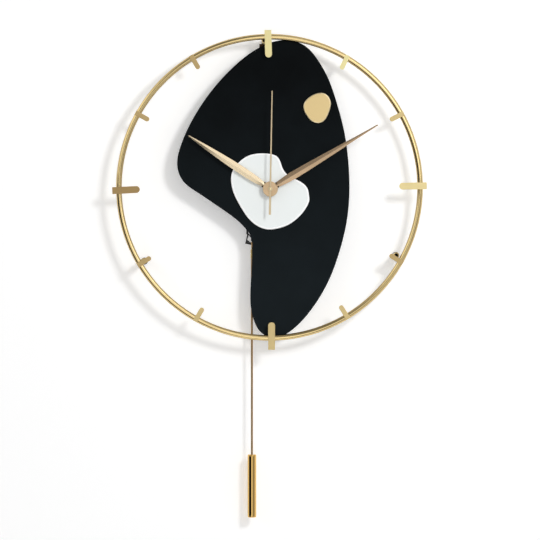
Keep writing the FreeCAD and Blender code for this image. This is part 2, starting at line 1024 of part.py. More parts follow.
def make_centre_wheel():
    """The centre wheel, which grips the cannon tube by friction."""
    wheel = gear(
        centre_teeth,
        third_centre_module,
        centre_layer_back,
        centre_layer_front,
        phase_deg=centre_phase_deg,
    )
    bore_back = centre_layer_back - cut_overrun
    bore_front = centre_layer_front + cut_overrun
    return wheel.cut(rod(0, 0, bore_back, bore_front, cannon_radius + running_clearance))


def make_cannon_pinion():
    """The cannon pinion on the tube that carries the minute hand."""
    pinion = gear(
        cannon_teeth,
        cannon_motion_module,
        motion_layer_back,
        motion_layer_front,
        phase_deg=cannon_phase_deg,
    )
    barrel = rod(0, 0, centre_layer_back, minute_hand_front, cannon_radius)
    bore = rod(0, 0, centre_layer_back - cut_overrun, minute_hand_front + cut_overrun, cannon_bore_radius)
    return pinion.fuse(barrel).cut(bore)


def make_motion_wheel():
    """The motion wheel and its pinion, which turn on a post of the front shell."""
    wheel = gear(
        motion_teeth,
        cannon_motion_module,
        motion_layer_back,
        motion_layer_front,
        motion_x,
        motion_z,
        motion_phase_deg,
    )
    pinion = gear(
        motion_pinion_teeth,
        motion_hour_module,
        motion_layer_front,
        hour_layer_front,
        motion_x,
        motion_z,
        motion_pinion_phase_deg,
    )
    bore_radius = motion_post_radius + running_clearance
    bore = rod(
        motion_x,
        motion_z,
        motion_layer_back - cut_overrun,
        hour_layer_front + cut_overrun,
        bore_radius,
    )
    return wheel.fuse(pinion).cut(bore)


def make_hour_wheel():
    """The hour wheel on the pipe that carries the hour hand."""
    wheel = gear(
        hour_teeth,
        motion_hour_module,
        hour_layer_back,
        hour_layer_front,
        phase_deg=hour_phase_deg,
    )
    pipe = rod(0, 0, hour_layer_back, hour_hand_front, hour_pipe_radius)
    bore = rod(0, 0, hour_layer_back - cut_overrun, hour_hand_front + cut_overrun, hour_bore_radius)
    return wheel.fuse(pipe).cut(bore)


def make_intermediate_wheel():
    """The wheel between the rotor and the second wheel."""
    wheel = gear(
        intermediate_teeth,
        second_module,
        intermediate_layer_back,
        intermediate_layer_front,
        intermediate_x,
        intermediate_z,
        intermediate_phase_deg,
    )
    pinion = gear(
        intermediate_pinion_teeth,
        second_module,
        intermediate_layer_front,
        second_layer_front,
        intermediate_x,
        intermediate_z,
        intermediate_pinion_phase_deg,
    )
    shaft_back = boss_front - cover_boss_length / 2
    shaft_front = plate_back + middle_plate_thickness / 2
    return wheel.fuse(pinion).fuse(rod(intermediate_x, intermediate_z, shaft_back, shaft_front, shaft_radius))


def make_rotor():
    """The motor's magnet disc and pinion on one shaft."""
    magnet = rod(rotor_x, rotor_z, magnet_back, magnet_front, rotor_magnet_radius)
    pinion = gear(
        rotor_teeth,
        second_module,
        magnet_front,
        intermediate_layer_front,
        rotor_x,
        rotor_z,
        rotor_phase_deg,
    )
    shaft_back = boss_front - cover_boss_length / 2
    shaft_front = plate_back + middle_plate_thickness / 2
    return magnet.fuse(pinion).fuse(rod(rotor_x, rotor_z, shaft_back, shaft_front, shaft_radius))


def make_setting_knob():
    """The setting wheel, its shaft and the knurled knob behind the cover."""
    wheel = gear(
        setting_teeth,
        cannon_motion_module,
        motion_layer_back,
        motion_layer_front,
        setting_x,
        setting_z,
        setting_phase_deg,
    )
    knob_front = shell_back - free_clearance
    knob_back = knob_front - knob_thickness
    knob = rod(setting_x, setting_z, knob_back, knob_front, knob_radius)
    for grip in range(knob_grips):
        dx, dz = direction(grip * 360 / knob_grips, knob_radius)
        groove = rod(
            setting_x + dx,
            setting_z + dz,
            knob_back - cut_overrun,
            knob_front + cut_overrun,
            knob_grip_radius,
        )
        knob = knob.cut(groove)
    shaft = rod(setting_x, setting_z, knob_back, motion_layer_front, setting_shaft_radius)
    return wheel.fuse(shaft).fuse(knob)


# Motor and electronics

stator_left_x = rotor_x - stator_left
stator_right_x = rotor_x + stator_right
coil_z = rotor_z + coil_above_rotor
coil_left_x = (stator_left_x + stator_right_x - coil_length) / 2
coil_right_x = coil_left_x + coil_length


def make_stator():
    """The U-shaped stator with the coil's core across its legs."""
    back = motor_depth - stator_thickness / 2
    front = motor_depth + stator_thickness / 2
    bottom = rotor_z - stator_half_height
    base = block(stator_left_x, stator_right_x, back, front, bottom, rotor_z + stator_half_height)
    base = base.cut(rod(rotor_x, rotor_z, back - cut_overrun, front + cut_overrun, stator_hole_radius))
    core_bottom = coil_z - core_height / 2
    core_top = coil_z + core_height / 2
    left_leg = block(
        stator_left_x,
        stator_left_x + stator_leg_width,
        back,
        front,
        rotor_z,
        core_top,
    )
    right_leg = block(
        stator_right_x - stator_leg_width,
        stator_right_x,
        back,
        front,
        rotor_z,
        core_top,
    )
    core = block(stator_left_x, stator_right_x, back, front, core_bottom, core_top)
    stator = base.fuse(left_leg).fuse(right_leg).fuse(core).removeSplitter()
    return stator.cut(rod(rotor_x, rotor_z, back - cut_overrun, front + cut_overrun, stator_hole_radius))


def coil_spindle(left, right, half):
    """A square bar along the coil's axis."""
    return block(left, right, motor_depth - half, motor_depth + half, coil_z - half, coil_z + half)


def make_bobbin():
    """The coil former: a square tube with a flange at each end."""
    bobbin = coil_spindle(coil_left_x, coil_right_x, core_height / 2 + bobbin_wall)
    for left in (coil_left_x, coil_right_x - bobbin_flange):
        flange = Part.makeCylinder(
            coil_radius,
            bobbin_flange,
            Vector(left, -motor_depth, coil_z),
            Vector(1, 0, 0),
        )
        bobbin = bobbin.fuse(flange)
    slot = block(
        coil_left_x - cut_overrun,
        coil_right_x + cut_overrun,
        motor_depth - stator_thickness / 2,
        motor_depth + stator_thickness / 2,
        coil_z - core_height / 2,
        coil_z + core_height / 2,
    )
    return bobbin.cut(slot).removeSplitter()


def make_winding():
    """The copper winding between the bobbin's flanges."""
    left = coil_left_x + bobbin_flange
    length = coil_length - 2 * bobbin_flange
    winding = Part.makeCylinder(
        coil_radius - bobbin_wall,
        length,
        Vector(left, -motor_depth, coil_z),
        Vector(1, 0, 0),
    )
    half = core_height / 2 + bobbin_wall
    return winding.cut(coil_spindle(left - cut_overrun, left + length + cut_overrun, half))


def circuit_pegs():
    """The two places where the cover holds the circuit board."""
    return (-circuit_left + 2 * circuit_peg_radius, -circuit_left + circuit_width - 2 * circuit_peg_radius)


def make_circuit_board():
    """The circuit board with its sealed chip and crystal can."""
    back = cover_front + circuit_standoff
    front = back + circuit_thickness
    right = -circuit_left + circuit_width
    top = circuit_bottom + circuit_height
    board = block(-circuit_left, right, back, front, circuit_bottom, top)
    chip_x = -circuit_left + circuit_width / 3
    chip_z = circuit_bottom + circuit_height / 2
    chip = rod(chip_x, chip_z, front, front + chip_height, chip_radius)
    crystal = Part.makeCylinder(
        crystal_radius,
        crystal_length,
        Vector(right - 2 * crystal_radius, -front - crystal_radius, chip_z - crystal_length / 2),
        Vector(0, 0, 1),
    )
    return group([board, chip, crystal])


# Cell

cell_z = -movement_below + movement_wall + cell_play + cell_radius
cell_depth = shell_inner_front - cell_play - cell_radius
cell_length = cell_body_length + cell_nub_length
cell_left = -cell_length / 2


def make_cell():
    """An AA cell, its positive end to the right."""
    body = Part.makeCylinder(
        cell_radius,
        cell_body_length,
        Vector(cell_left, -cell_depth, cell_z),
        Vector(1, 0, 0),
    )
    nub = Part.makeCylinder(
        cell_nub_radius,
        cell_length,
        Vector(cell_left, -cell_depth, cell_z),
        Vector(1, 0, 0),
    )
    return body.fuse(nub)


def make_contact(side):
    """A contact strip on the end wall of the bay, with a dimple that reaches the cell."""
    wall_x = movement_half_width - movement_wall
    inner_x = wall_x - contact_thickness
    strip = block(
        inner_x,
        wall_x,
        cell_depth - contact_half_height,
        cell_depth + contact_half_height,
        cell_z - contact_half_height,
        cell_z + contact_half_height,
    )
    reach = inner_x - cell_length / 2
    dimple = Part.makeCylinder(
        contact_dimple_radius,
        reach,
        Vector(cell_length / 2, -cell_depth, cell_z),
        Vector(1, 0, 0),
    )
    contact = strip.fuse(dimple)
    return contact if side > 0 else contact.mirror(Vector(0, 0, 0), Vector(1, 0, 0))


# Hands


def blade(shares, length, width, back):
    """A folded blade: two sloping faces that meet at a ridge along the middle."""
    sections = []
    for along_share, width_share in shares:
        z = along_share * length
        half = width_share * width / 2
        ridge = back + hand_edge + (hand_ridge - hand_edge) * min(1, width_share * 2)
        edge = back + hand_edge
        corners = [
            Vector(-half, -back, z),
            Vector(half, -back, z),
            Vector(half, -edge, z),
            Vector(0, -ridge, z),
            Vector(-half, -edge, z),
        ]
        sections.append(Part.makePolygon(corners + corners[:1]))
    return Part.makeLoft(sections, True, True)


def make_hand(shares, length, width, back, bore, angle_deg):
    """A hand: blade, round boss and the collar that grips its pipe."""
    front = back + hand_ridge
    boss = rod(0, 0, back, back + hand_boss_thickness, hand_boss_radius)
    boss_face = back + hand_boss_thickness
    collar = rod(0, 0, boss_face - hand_collar_length, boss_face, bore + hand_collar_wall)
    hand = blade(shares, length, width, back).fuse(boss).fuse(collar)
    hole = rod(0, 0, back - hand_collar_length - cut_overrun, front + cut_overrun, bore)
    return turned(hand.cut(hole), angle_deg)


def make_second_hand():
    """The thin second hand with its tail and a small boss."""
    back = second_hand_back
    front = back + second_hand_thickness
    outline = (
        (-second_hand_base_width / 2, 0),
        (-second_hand_tip_width / 2, second_hand_length),
        (second_hand_tip_width / 2, second_hand_length),
        (second_hand_base_width / 2, 0),
        (second_hand_tail_width / 2, -second_hand_tail),
        (-second_hand_tail_width / 2, -second_hand_tail),
    )
    hand = prism(outline, back, front)
    boss_back = minute_hand_front + free_clearance
    boss = rod(0, 0, boss_back, front + second_boss_rise, second_boss_radius)
    hand = hand.fuse(boss)
    socket = rod(0, 0, boss_back - cut_overrun, front, second_shaft_radius)
    return turned(hand.cut(socket), second_hand_deg)


# Pendulum drive, drawn about the hand shafts

drive_top = -movement_below - free_clearance
drive_bottom = drive_top - drive_height
drive_front = shell_front
drive_left = pendulum_left_of_shaft + drive_slot_left + drive_slot_margin + drive_wall
pendulum_depth = shell_front - pendulum_behind_shell_front
arm_back = pendulum_depth - arm_thickness / 2
arm_front = pendulum_depth + arm_thickness / 2
magnet_back_depth = arm_back - drive_magnet_thickness
drive_cover_front = magnet_back_depth - drive_magnet_gap - drive_coil_height
drive_back = drive_cover_front - drive_cover_thickness
pivot_x = -pendulum_left_of_shaft
pivot_z = drive_top - drive_wall - pivot_below_box_top - free_clearance
magnet_x = pivot_x + drive_magnet_right
magnet_z = pivot_z - drive_magnet_drop
arm_neck = pivot_z - drive_bottom
hook_z = drive_bottom - stirrup_drop


def make_drive_box():
    """The pendulum drive's box: a tray with a slot in its floor for the arm."""
    outer = block(-drive_left, drive_right, drive_cover_front, drive_front, drive_bottom, drive_top)
    inner = block(
        drive_wall - drive_left,
        drive_right - drive_wall,
        drive_cover_front - cut_overrun,
        drive_front - drive_wall,
        drive_bottom + drive_wall,
        drive_top - drive_wall,
    )
    slot = block(
        pivot_x - drive_slot_left,
        pivot_x - drive_slot_right,
        arm_back - arm_thickness,
        arm_front + arm_thickness,
        drive_bottom - cut_overrun,
        drive_bottom + drive_wall + cut_overrun,
    )
    box = outer.cut(inner).cut(slot)
    boss_radius = pivot_pin_radius + drive_wall
    boss_back = arm_front + free_clearance
    floor = drive_front - drive_wall
    boss = rod(pivot_x, pivot_z, boss_back, floor, boss_radius)
    return box.fuse(boss).cut(rod(pivot_x, pivot_z, boss_back - cut_overrun, floor, pivot_pin_radius))


def make_drive_cover():
    """The drive's flat cover, with a boss for the pivot pin and a core for the coil."""
    cover = block(-drive_left, drive_right, drive_back, drive_cover_front, drive_bottom, drive_top)
    boss_radius = pivot_pin_radius + drive_wall
    boss_face = arm_back - free_clearance
    cover = cover.fuse(rod(pivot_x, pivot_z, drive_cover_front, boss_face, boss_radius))
    core_front = drive_cover_front + drive_coil_height
    cover = cover.fuse(rod(magnet_x, magnet_z, drive_cover_front, core_front, drive_coil_bore))
    return cover.cut(rod(pivot_x, pivot_z, drive_cover_front, boss_face + cut_overrun, pivot_pin_radius))


def make_pivot_pin():
    """The pin that the swing arm turns on."""
    return rod(pivot_x, pivot_z, drive_cover_front, drive_front - drive_wall, pivot_pin_radius)


def make_drive_coil():
    """The drive coil on the cover's core."""
    front = drive_cover_front + drive_coil_height
    return tube(magnet_x, magnet_z, drive_cover_front, front, drive_coil_radius, drive_coil_bore)


def make_drive_magnet():
    """The magnet on the back of the arm."""
    return rod(magnet_x, magnet_z, magnet_back_depth, arm_back, drive_magnet_radius)


def neck_points(shares):
    """Points of the arm's neck, about the hand shafts."""
    return [(pivot_x + x * arm_neck, pivot_z + z * arm_neck) for x, z in shares]


def stirrup_points(shares):
    """Points of the stirrup, about the hand shafts."""
    return [(pivot_x + x * stirrup_drop, drive_bottom + z * stirrup_drop) for x, z in shares]


def make_arm():
    """The swing arm: pivot boss, magnet seat and the open stirrup that the rod hooks into."""
    outline = neck_points(arm_neck_right_shares)
    outline += stirrup_points(stirrup_outline_shares)
    outline += neck_points(arm_neck_left_shares)
    arm = prism(outline, arm_back, arm_front)
    arm = arm.fuse(rod(pivot_x, pivot_z, arm_back, arm_front, pivot_boss_radius))
    arm = arm.fuse(rod(magnet_x, magnet_z, arm_back, arm_front, drive_magnet_radius))
    hole = prism(stirrup_points(stirrup_hole_shares), arm_back - cut_overrun, arm_front + cut_overrun)
    arm = arm.cut(hole)
    seat_radius = hook_peg_radius + running_clearance
    arm = arm.cut(rod(pivot_x, hook_z, arm_back - cut_overrun, arm_front + cut_overrun, seat_radius))
    pin_hole_radius = pivot_pin_radius + running_clearance
    return arm.cut(rod(pivot_x, pivot_z, arm_back - cut_overrun, arm_front + cut_overrun, pin_hole_radius))


# Pendulum rod and bob

strip_back = arm_front + free_clearance
strip_front = strip_back + hook_strip_thickness
strip_bottom = hook_z - hook_strip_length
ferrule_top = strip_bottom - hook_shank_length
ferrule_bottom = ferrule_top - ferrule_length
ferrule_middle = (ferrule_top + ferrule_bottom) / 2
rod_bottom = ferrule_bottom - rod_length
bob_top = rod_bottom + bob_plug_length + bob_plug_rim
bob_bottom = bob_top - bob_length


def upright(bottom, top, radius):
    """A round bar on the pendulum's own centre line."""
    return Part.makeCylinder(radius, top - bottom, Vector(pivot_x, -pendulum_depth, bottom), Vector(0, 0, 1))


def make_pendulum_rod():
    """The rod and its cranked hook, whose headed peg sits in the stirrup."""
    half = hook_strip_width / 2
    strip = block(pivot_x - half, pivot_x + half, strip_back, strip_front, strip_bottom, hook_z)
    strip = strip.fuse(rod(pivot_x, hook_z, strip_back, strip_front, half))
    foot_back = pendulum_depth - hook_shank_radius
    foot_top = strip_bottom + hook_strip_thickness
    foot = block(pivot_x - half, pivot_x + half, foot_back, strip_front, strip_bottom, foot_top)
    head_front = arm_back - free_clearance
    head_back = head_front - hook_head_thickness
    head = rod(pivot_x, hook_z, head_back, head_front, hook_peg_radius + hook_head_rim)
    peg = rod(pivot_x, hook_z, head_back, strip_front, hook_peg_radius)
    shank = upright(ferrule_middle, strip_bottom, hook_shank_radius)
    long_rod = upright(rod_bottom, ferrule_middle, rod_radius)
    return strip.fuse(foot).fuse(head).fuse(peg).fuse(shank).fuse(long_rod)


def make_ferrule(pendulum_rod):
    """The brass collar that clamps the hook to the rod, with a turned groove."""
    ferrule = upright(ferrule_bottom, ferrule_top, ferrule_radius)
    bottom = ferrule_middle - ferrule_groove_width / 2
    top = ferrule_middle + ferrule_groove_width / 2
    groove = upright(bottom, top, ferrule_radius + cut_overrun)
    groove = groove.cut(upright(bottom, top, ferrule_radius - ferrule_groove))
    return ferrule.cut(groove).cut(pendulum_rod)


def make_bob():
    """The polished tube at the end of the rod."""
    bottom = bob_bottom + bob_plug_rim
    top = bob_top - bob_plug_rim
    return upright(bottom, top, bob_radius).cut(upright(bottom, top, bob_radius - bob_wall))


def make_bob_plugs():
    """The two rounded end plugs of the bob. The rod is pressed into the upper one."""
    upper = upright(bob_top - bob_plug_rim, bob_top, bob_radius)
    upper = upper.makeFillet(bob_end_round, level_edges(upper, bob_top))
    upper = upper.fuse(upright(rod_bottom, bob_top - bob_plug_rim, bob_radius - bob_wall))
    upper = upper.cut(upright(rod_bottom, bob_top + cut_overrun, rod_radius))
    rim_top = bob_bottom + bob_plug_rim
    lower = upright(bob_bottom, rim_top, bob_radius)
    lower = lower.makeFillet(bob_end_round, level_edges(lower, bob_bottom))
    lower = lower.fuse(upright(rim_top, rim_top + bob_plug_length, bob_radius - bob_wall))
    return group([upper, lower])


# Assembly


def dial_parts():
    """Every piece that is drawn about the ring's centre."""
    bars = {hour: make_bar(hour) for hour in bar_angles_deg}
    ring = make_ring(bars.values())
    parts = {"dial_ring": ring}
    for hour, bar in bars.items():
        parts[f"hour_bar_{hour:02d}"] = bar
    parts["wall_spacer_04"] = make_spacer(4, pad_thickness, bar_back, ring)
    parts["wall_spacer_08"] = make_spacer(8, pad_thickness, bar_back, ring)
    parts["wall_spacer_12"] = make_spacer(12, hanger_thickness, ring_depth, ring)
    parts["wall_pads"] = group([make_pad(4), make_pad(8)])
    parts["hanger_plate"] = make_hanger_plate()
    parts["dial_board"] = make_board()
    bushing_cut = bushing_hole(board_front, accent_front)
    parts["pale_centre_plate"] = make_accent(pale_plate_shares).cut(bushing_cut)
    parts["gold_pebble_plate"] = make_accent(gold_plate_shares)
    parts["board_studs"] = group([make_stud(12), make_stud(6)])
    parts["board_sleeves"] = group([make_sleeve(12), make_sleeve(6)])
    parts["board_nuts"] = group([make_stud_nut(12), make_stud_nut(6)])
    return parts


def movement_parts():
    """Every piece that is drawn about the hand shafts."""
    pendulum_rod = make_pendulum_rod()
    return {
        "movement_gasket": make_gasket(),
        "movement_front_shell": make_front_shell(),
        "movement_rear_cover": make_rear_cover(),
        "cover_screws": group([make_case_screw(-1), make_case_screw(1)]),
        "threaded_bushing": make_bushing(),
        "bushing_washer": make_washer(),
        "fixing_nut": make_fixing_nut(),
        "middle_plate": make_middle_plate(),
        "second_wheel": make_second_wheel(),
        "third_wheel": make_third_wheel(),
        "centre_wheel": make_centre_wheel(),
        "cannon_pinion": make_cannon_pinion(),
        "motion_wheel": make_motion_wheel(),
        "hour_wheel": make_hour_wheel(),
        "intermediate_wheel": make_intermediate_wheel(),
        "motor_rotor": make_rotor(),
        "setting_knob": make_setting_knob(),
        "motor_stator": make_stator(),
        "coil_bobbin": make_bobbin(),
        "coil_winding": make_winding(),
        "circuit_board": make_circuit_board(),
        "aa_cell": make_cell(),
        "cell_contacts": group([make_contact(-1), make_contact(1)]),
        "hour_hand": make_hand(
            hour_blade_shares,
            hour_hand_length,
            hour_hand_width,
            hour_hand_back,
            hour_pipe_radius,
            hour_hand_deg,
        ),
        "minute_hand": make_hand(
            minute_blade_shares,
            minute_hand_length,
            minute_hand_width,
            minute_hand_back,
            cannon_radius,
            minute_hand_deg,
        ),
        "second_hand": make_second_hand(),
        "pendulum_drive_box": make_drive_box(),
        "pendulum_drive_cover": make_drive_cover(),
        "pivot_pin": make_pivot_pin(),
        "drive_coil": make_drive_coil(),
        "drive_magnet": make_drive_magnet(),
        "pendulum_arm": make_arm(),
        "pendulum_rod": pendulum_rod,
        "rod_ferrule": make_ferrule(pendulum_rod),
        "pendulum_bob": make_bob(),
        "bob_plugs": make_bob_plugs(),
    }


def write_parts():
    """Moves every piece to the frame of the nail hole and writes it."""
    os.makedirs("parts", exist_ok=True)
    placed = {}
    for name, shape in dial_parts().items():
        placed[name] = moved(shape, 0, -hook_above_centre)
    for name, shape in movement_parts().items():
        placed[name] = moved(shape, shaft_right_of_centre, -shaft_below_centre - hook_above_centre)
    for name, shape in placed.items():
        shape.exportStep(f"parts/{name}.step")
        print(name, len(shape.Solids), round(shape.Volume, 2), shape.isValid())


write_parts()
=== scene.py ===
"""Looks of a wall clock with a gold ring dial, a free-form black board and a rod pendulum.

Everything is in metres, in the frame of the nail hole: X is to the right, Z is up, the front faces -Y
and the wall is the plane Y = 0. Sizes that the construction settles are read from its nodes.
"""

from __future__ import annotations

import json
import logging
import math
from collections.abc import Callable
from dataclasses import dataclass, replace
from enum import Enum

import bmesh
import bpy
from mathutils import Matrix, Vector

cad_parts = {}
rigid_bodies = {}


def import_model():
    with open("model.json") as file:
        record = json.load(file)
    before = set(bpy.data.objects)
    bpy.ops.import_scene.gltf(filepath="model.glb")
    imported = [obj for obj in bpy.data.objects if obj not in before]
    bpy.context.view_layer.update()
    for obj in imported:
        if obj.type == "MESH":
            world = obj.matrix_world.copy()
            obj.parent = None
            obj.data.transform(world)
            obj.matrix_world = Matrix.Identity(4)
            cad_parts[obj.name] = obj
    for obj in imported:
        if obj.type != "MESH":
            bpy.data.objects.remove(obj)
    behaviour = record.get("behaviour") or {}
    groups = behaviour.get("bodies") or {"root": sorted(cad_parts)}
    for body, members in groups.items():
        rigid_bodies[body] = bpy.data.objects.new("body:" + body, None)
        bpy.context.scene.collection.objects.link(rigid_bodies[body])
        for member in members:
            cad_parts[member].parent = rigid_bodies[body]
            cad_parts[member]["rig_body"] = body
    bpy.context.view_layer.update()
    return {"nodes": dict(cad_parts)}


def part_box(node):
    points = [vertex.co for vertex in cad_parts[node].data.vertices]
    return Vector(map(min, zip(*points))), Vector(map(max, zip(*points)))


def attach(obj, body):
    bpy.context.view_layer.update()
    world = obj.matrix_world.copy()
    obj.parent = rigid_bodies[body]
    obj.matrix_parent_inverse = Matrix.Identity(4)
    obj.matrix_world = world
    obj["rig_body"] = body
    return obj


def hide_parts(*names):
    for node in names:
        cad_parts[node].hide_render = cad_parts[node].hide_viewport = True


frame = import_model()

Place = tuple[float, float, float]
Colour = tuple[float, float, float]
Point = tuple[float, float]
Piece = bpy.types.Object
Mesh = bpy.types.Mesh
Shape = bmesh.types.BMesh
Material = bpy.types.Material
Socket = bpy.types.NodeSocket

log = logging.getLogger("clock")

MM = 0.001
UV_NAME = "UVMap"
WHITE = (1.0, 1.0, 1.0, 1.0)
FRONT = Vector((0, -1, 0))
# Turns a shape that lies flat, with its face up, to stand with its face to the front.
STAND = Matrix.Rotation(math.radians(90), 4, "X")
# A point on the axis of the hands.
HUB = (0.001, -0.040, -0.1702)
# Points closer than this are one point.
MERGE = 0.00001
# A face whose normal has at least this share along an axis lies square to it.
FLAT = 0.999
# Faces that meet at less than the first angle are joined, and edges that turn by more than the second
# are rounded or stay sharp.
JOIN_DEGREES = 0.6
SHARP_DEGREES = 32.0
NORMAL_WEIGHT = 80
# Share of a rod's straight side next to each end that takes up the tilt of its normals.
HOLD = 0.015


class Grain(Enum):
    """Which way the fine marks of a surface run."""

    NONE = "no direction"
    AROUND = "round a shaft that points out of the wall"
    UPRIGHT = "up and down"
    LENGTHWISE = "along the piece, by its own UV map"


class PaintedBarLight(Enum):
    """How much light is painted into a marker bar's gold, as a share of the lightest: painted light and shade
    for how the light falls on each bar.
    """

    LIT_MOST = 1.00
    BRIGHT = 0.92
    EVEN = 0.77
    LIT_LESS = 0.61
    DARK = 0.47


class Slot(Enum):
    """The record's material slots, named with some new pieces but not read."""

    RING = "plated_steel"
    SPACER = "spacer_steel"
    HANGER = "hanger_steel"
    BOARD = "black_panel"
    PALE = "pale_panel"
    PEBBLE = "gold_panel"
    HAND = "gold_hand"
    ROD = "rod_brass"
    BOB = "bob_brass"
    BRASS = "brass"
    CASE = "case_plastic"
    CELL = "cell_jacket"
    KNOB = "red_plastic"
    STEEL = "fastener_steel"
    PAD = "pad_rubber"


class Graph:
    """The node tree of a material, a shape or the world, built step by step."""

    def __init__(self, tree: bpy.types.NodeTree) -> None:
        """Takes a node tree and empties it."""
        self.tree = tree
        self.tree.nodes.clear()

    def add(self, kind: str, values: dict | None = None, **settings: object) -> bpy.types.Node:
        """Adds one node.

        Args:
            kind: Blender's name of the node type.
            values: Numbers or sockets for the node's inputs, by input name or index.
            settings: The node's own settings.

        Returns:
            The new node.
        """
        node = self.tree.nodes.new(kind)
        for key, value in settings.items():
            setattr(node, key, value)
        for key, value in (values or {}).items():
            if isinstance(value, Socket):
                self.join(value, node.inputs[key])
            else:
                node.inputs[key].default_value = value
        return node

    def join(self, output: Socket, target: Socket) -> None:
        """Links an output to an input."""
        self.tree.links.new(output, target)

    def result(self, kind: str, values: dict | None = None, **settings: object) -> Socket:
        """Adds one node, as add does, and gives its first output."""
        return self.add(kind, values, **settings).outputs[0]

    def calculate(self, operation: str, first: object, second: object) -> Socket:
        """The result of an operation on two numbers or sockets."""
        return self.result("ShaderNodeMath", {0: first, 1: second}, operation=operation)


def shaded(colour: Colour, share: float) -> Colour:
    """The same colour, darker or lighter."""
    red, green, blue = colour
    return (min(1.0, red * share), min(1.0, green * share), min(1.0, blue * share))


class Shader(Graph):
    """A material's node tree with one principled surface."""

    NOISE_LOW = 0.3
    NOISE_HIGH = 0.7
    NOISE_ROUGHNESS = 0.6

    def __init__(self, name: str) -> None:
        """Starts an empty material with one principled surface."""
        self.material = bpy.data.materials.new(name)
        self.material.use_nodes = True
        super().__init__(self.material.node_tree)
        self.output = self.add("ShaderNodeOutputMaterial")
        self.surface = self.add("ShaderNodeBsdfPrincipled")
        self.join(self.surface.outputs[0], self.output.inputs["Surface"])

    def set(self, **values: object) -> None:
        """Sets plain numbers on the principled surface, by input name with underscores."""
        for key, value in values.items():
            self.surface.inputs[key.replace("_", " ")].default_value = value

    def link(self, socket: Socket, name: str) -> None:
        """Feeds one input of the principled surface."""
        self.join(socket, self.surface.inputs[name])

    def span(self, socket: Socket, low: float, high: float) -> Socket:
        """A noise value spread over a range of numbers."""
        values = {"Value": socket, "From Min": self.NOISE_LOW, "From Max": self.NOISE_HIGH}
        return self.result("ShaderNodeMapRange", {**values, "To Min": low, "To Max": high})

    def noise(self, vector: Socket, scale: float, detail: float) -> Socket:
        """A noise value along a vector."""
        values = {"Vector": vector, "Scale": scale, "Detail": detail, "Roughness": self.NOISE_ROUGHNESS}
        return self.add("ShaderNodeTexNoise", values).outputs["Fac"]

    def vary(self, finish: Finish, amount: Socket, noise: Socket) -> None:
        """Spreads a finish's colour and roughness over the surface.

        Args:
            finish: The finish, with its colour and roughness and how far each may stray.
            amount: 0 where the colour is darkest, 1 where it is lightest.
            noise: The noise value that the roughness follows.
        """
        dark = shaded(finish.colour, 1.0 - finish.tone)
        light = shaded(finish.colour, 1.0 + finish.tone)
        values = {"Factor": amount, 6: (*dark, 1.0), 7: (*light, 1.0)}
        self.link(self.add("ShaderNodeMix", values, data_type="RGBA").outputs[2], "Base Color")
        low = finish.roughness - finish.uneven
        high = finish.roughness + finish.uneven
        self.link(self.span(noise, low, high), "Roughness")

    def relief(self, height: Socket, depth: float, strength: float) -> None:
        """Gives the surface a fine relief."""
        values = {"Height": height, "Distance": depth, "Strength": strength}
        self.link(self.result("ShaderNodeBump", values), "Normal")


@dataclass(frozen=True)
class MetalFinish:
    """A metal surface with fine marks that follow how it was worked."""

    name: str
    colour: Colour
    roughness: float
    grain: Grain = Grain.NONE
    marks_per_metre: float = 2500.0
    marks_detail: float = 3.0
    stretch: float = 0.02
    relief: float = 0.25
    relief_depth: float = 0.00003
    cloud_per_metre: float = 45.0
    cloud_detail: float = 2.0
    tone: float = 0.08
    uneven: float = 0.06
    edge_tint: Colour = (1.0, 1.0, 1.0)
    centre: Place = (0.0, 0.0, 0.0)

    def marks(self, shader: Shader) -> Socket:
        """The coordinates that the fine marks follow.

        Args:
            shader: The material that is being built.

        Returns:
            A vector that changes fast across the marks and slowly along them.
        """
        coordinates = shader.add("ShaderNodeTexCoord").outputs
        if self.grain is Grain.AROUND:
            values = {0: coordinates["Object"], 1: self.centre}
            moved = shader.result("ShaderNodeVectorMath", values, operation="SUBTRACT")
            values = {0: moved, 1: (1, 0, 1)}
            flat = shader.result("ShaderNodeVectorMath", values, operation="MULTIPLY")
            radius = shader.add("ShaderNodeVectorMath", {0: flat}, operation="LENGTH").outputs["Value"]
            depth = shader.add("ShaderNodeSeparateXYZ", {0: moved}).outputs[1]
            return shader.result("ShaderNodeCombineXYZ", {0: radius, 1: depth})
        if self.grain is Grain.LENGTHWISE:
            values = {"Vector": coordinates["UV"], "Scale": (1, self.stretch, 1)}
            return shader.result("ShaderNodeMapping", values)
        along = self.stretch if self.grain is Grain.UPRIGHT else 1.0
        values = {"Vector": coordinates["Object"], "Scale": (1, 1, along)}
        return shader.result("ShaderNodeMapping", values)

    def build(self) -> Material:
        """Makes the material."""
        shader = Shader(self.name)
        shader.set(Metallic=1.0, Specular_Tint=(*self.edge_tint, 1.0))
        marks = shader.noise(self.marks(shader), self.marks_per_metre, self.marks_detail)
        place = shader.add("ShaderNodeTexCoord").outputs["Object"]
        cloud = shader.noise(place, self.cloud_per_metre, self.cloud_detail)
        both = shader.calculate("MULTIPLY", shader.calculate("ADD", marks, cloud), 0.5)
        shader.vary(self, shader.span(both, 0.0, 1.0), both)
        shader.relief(marks, self.relief_depth, self.relief)
        return shader.material


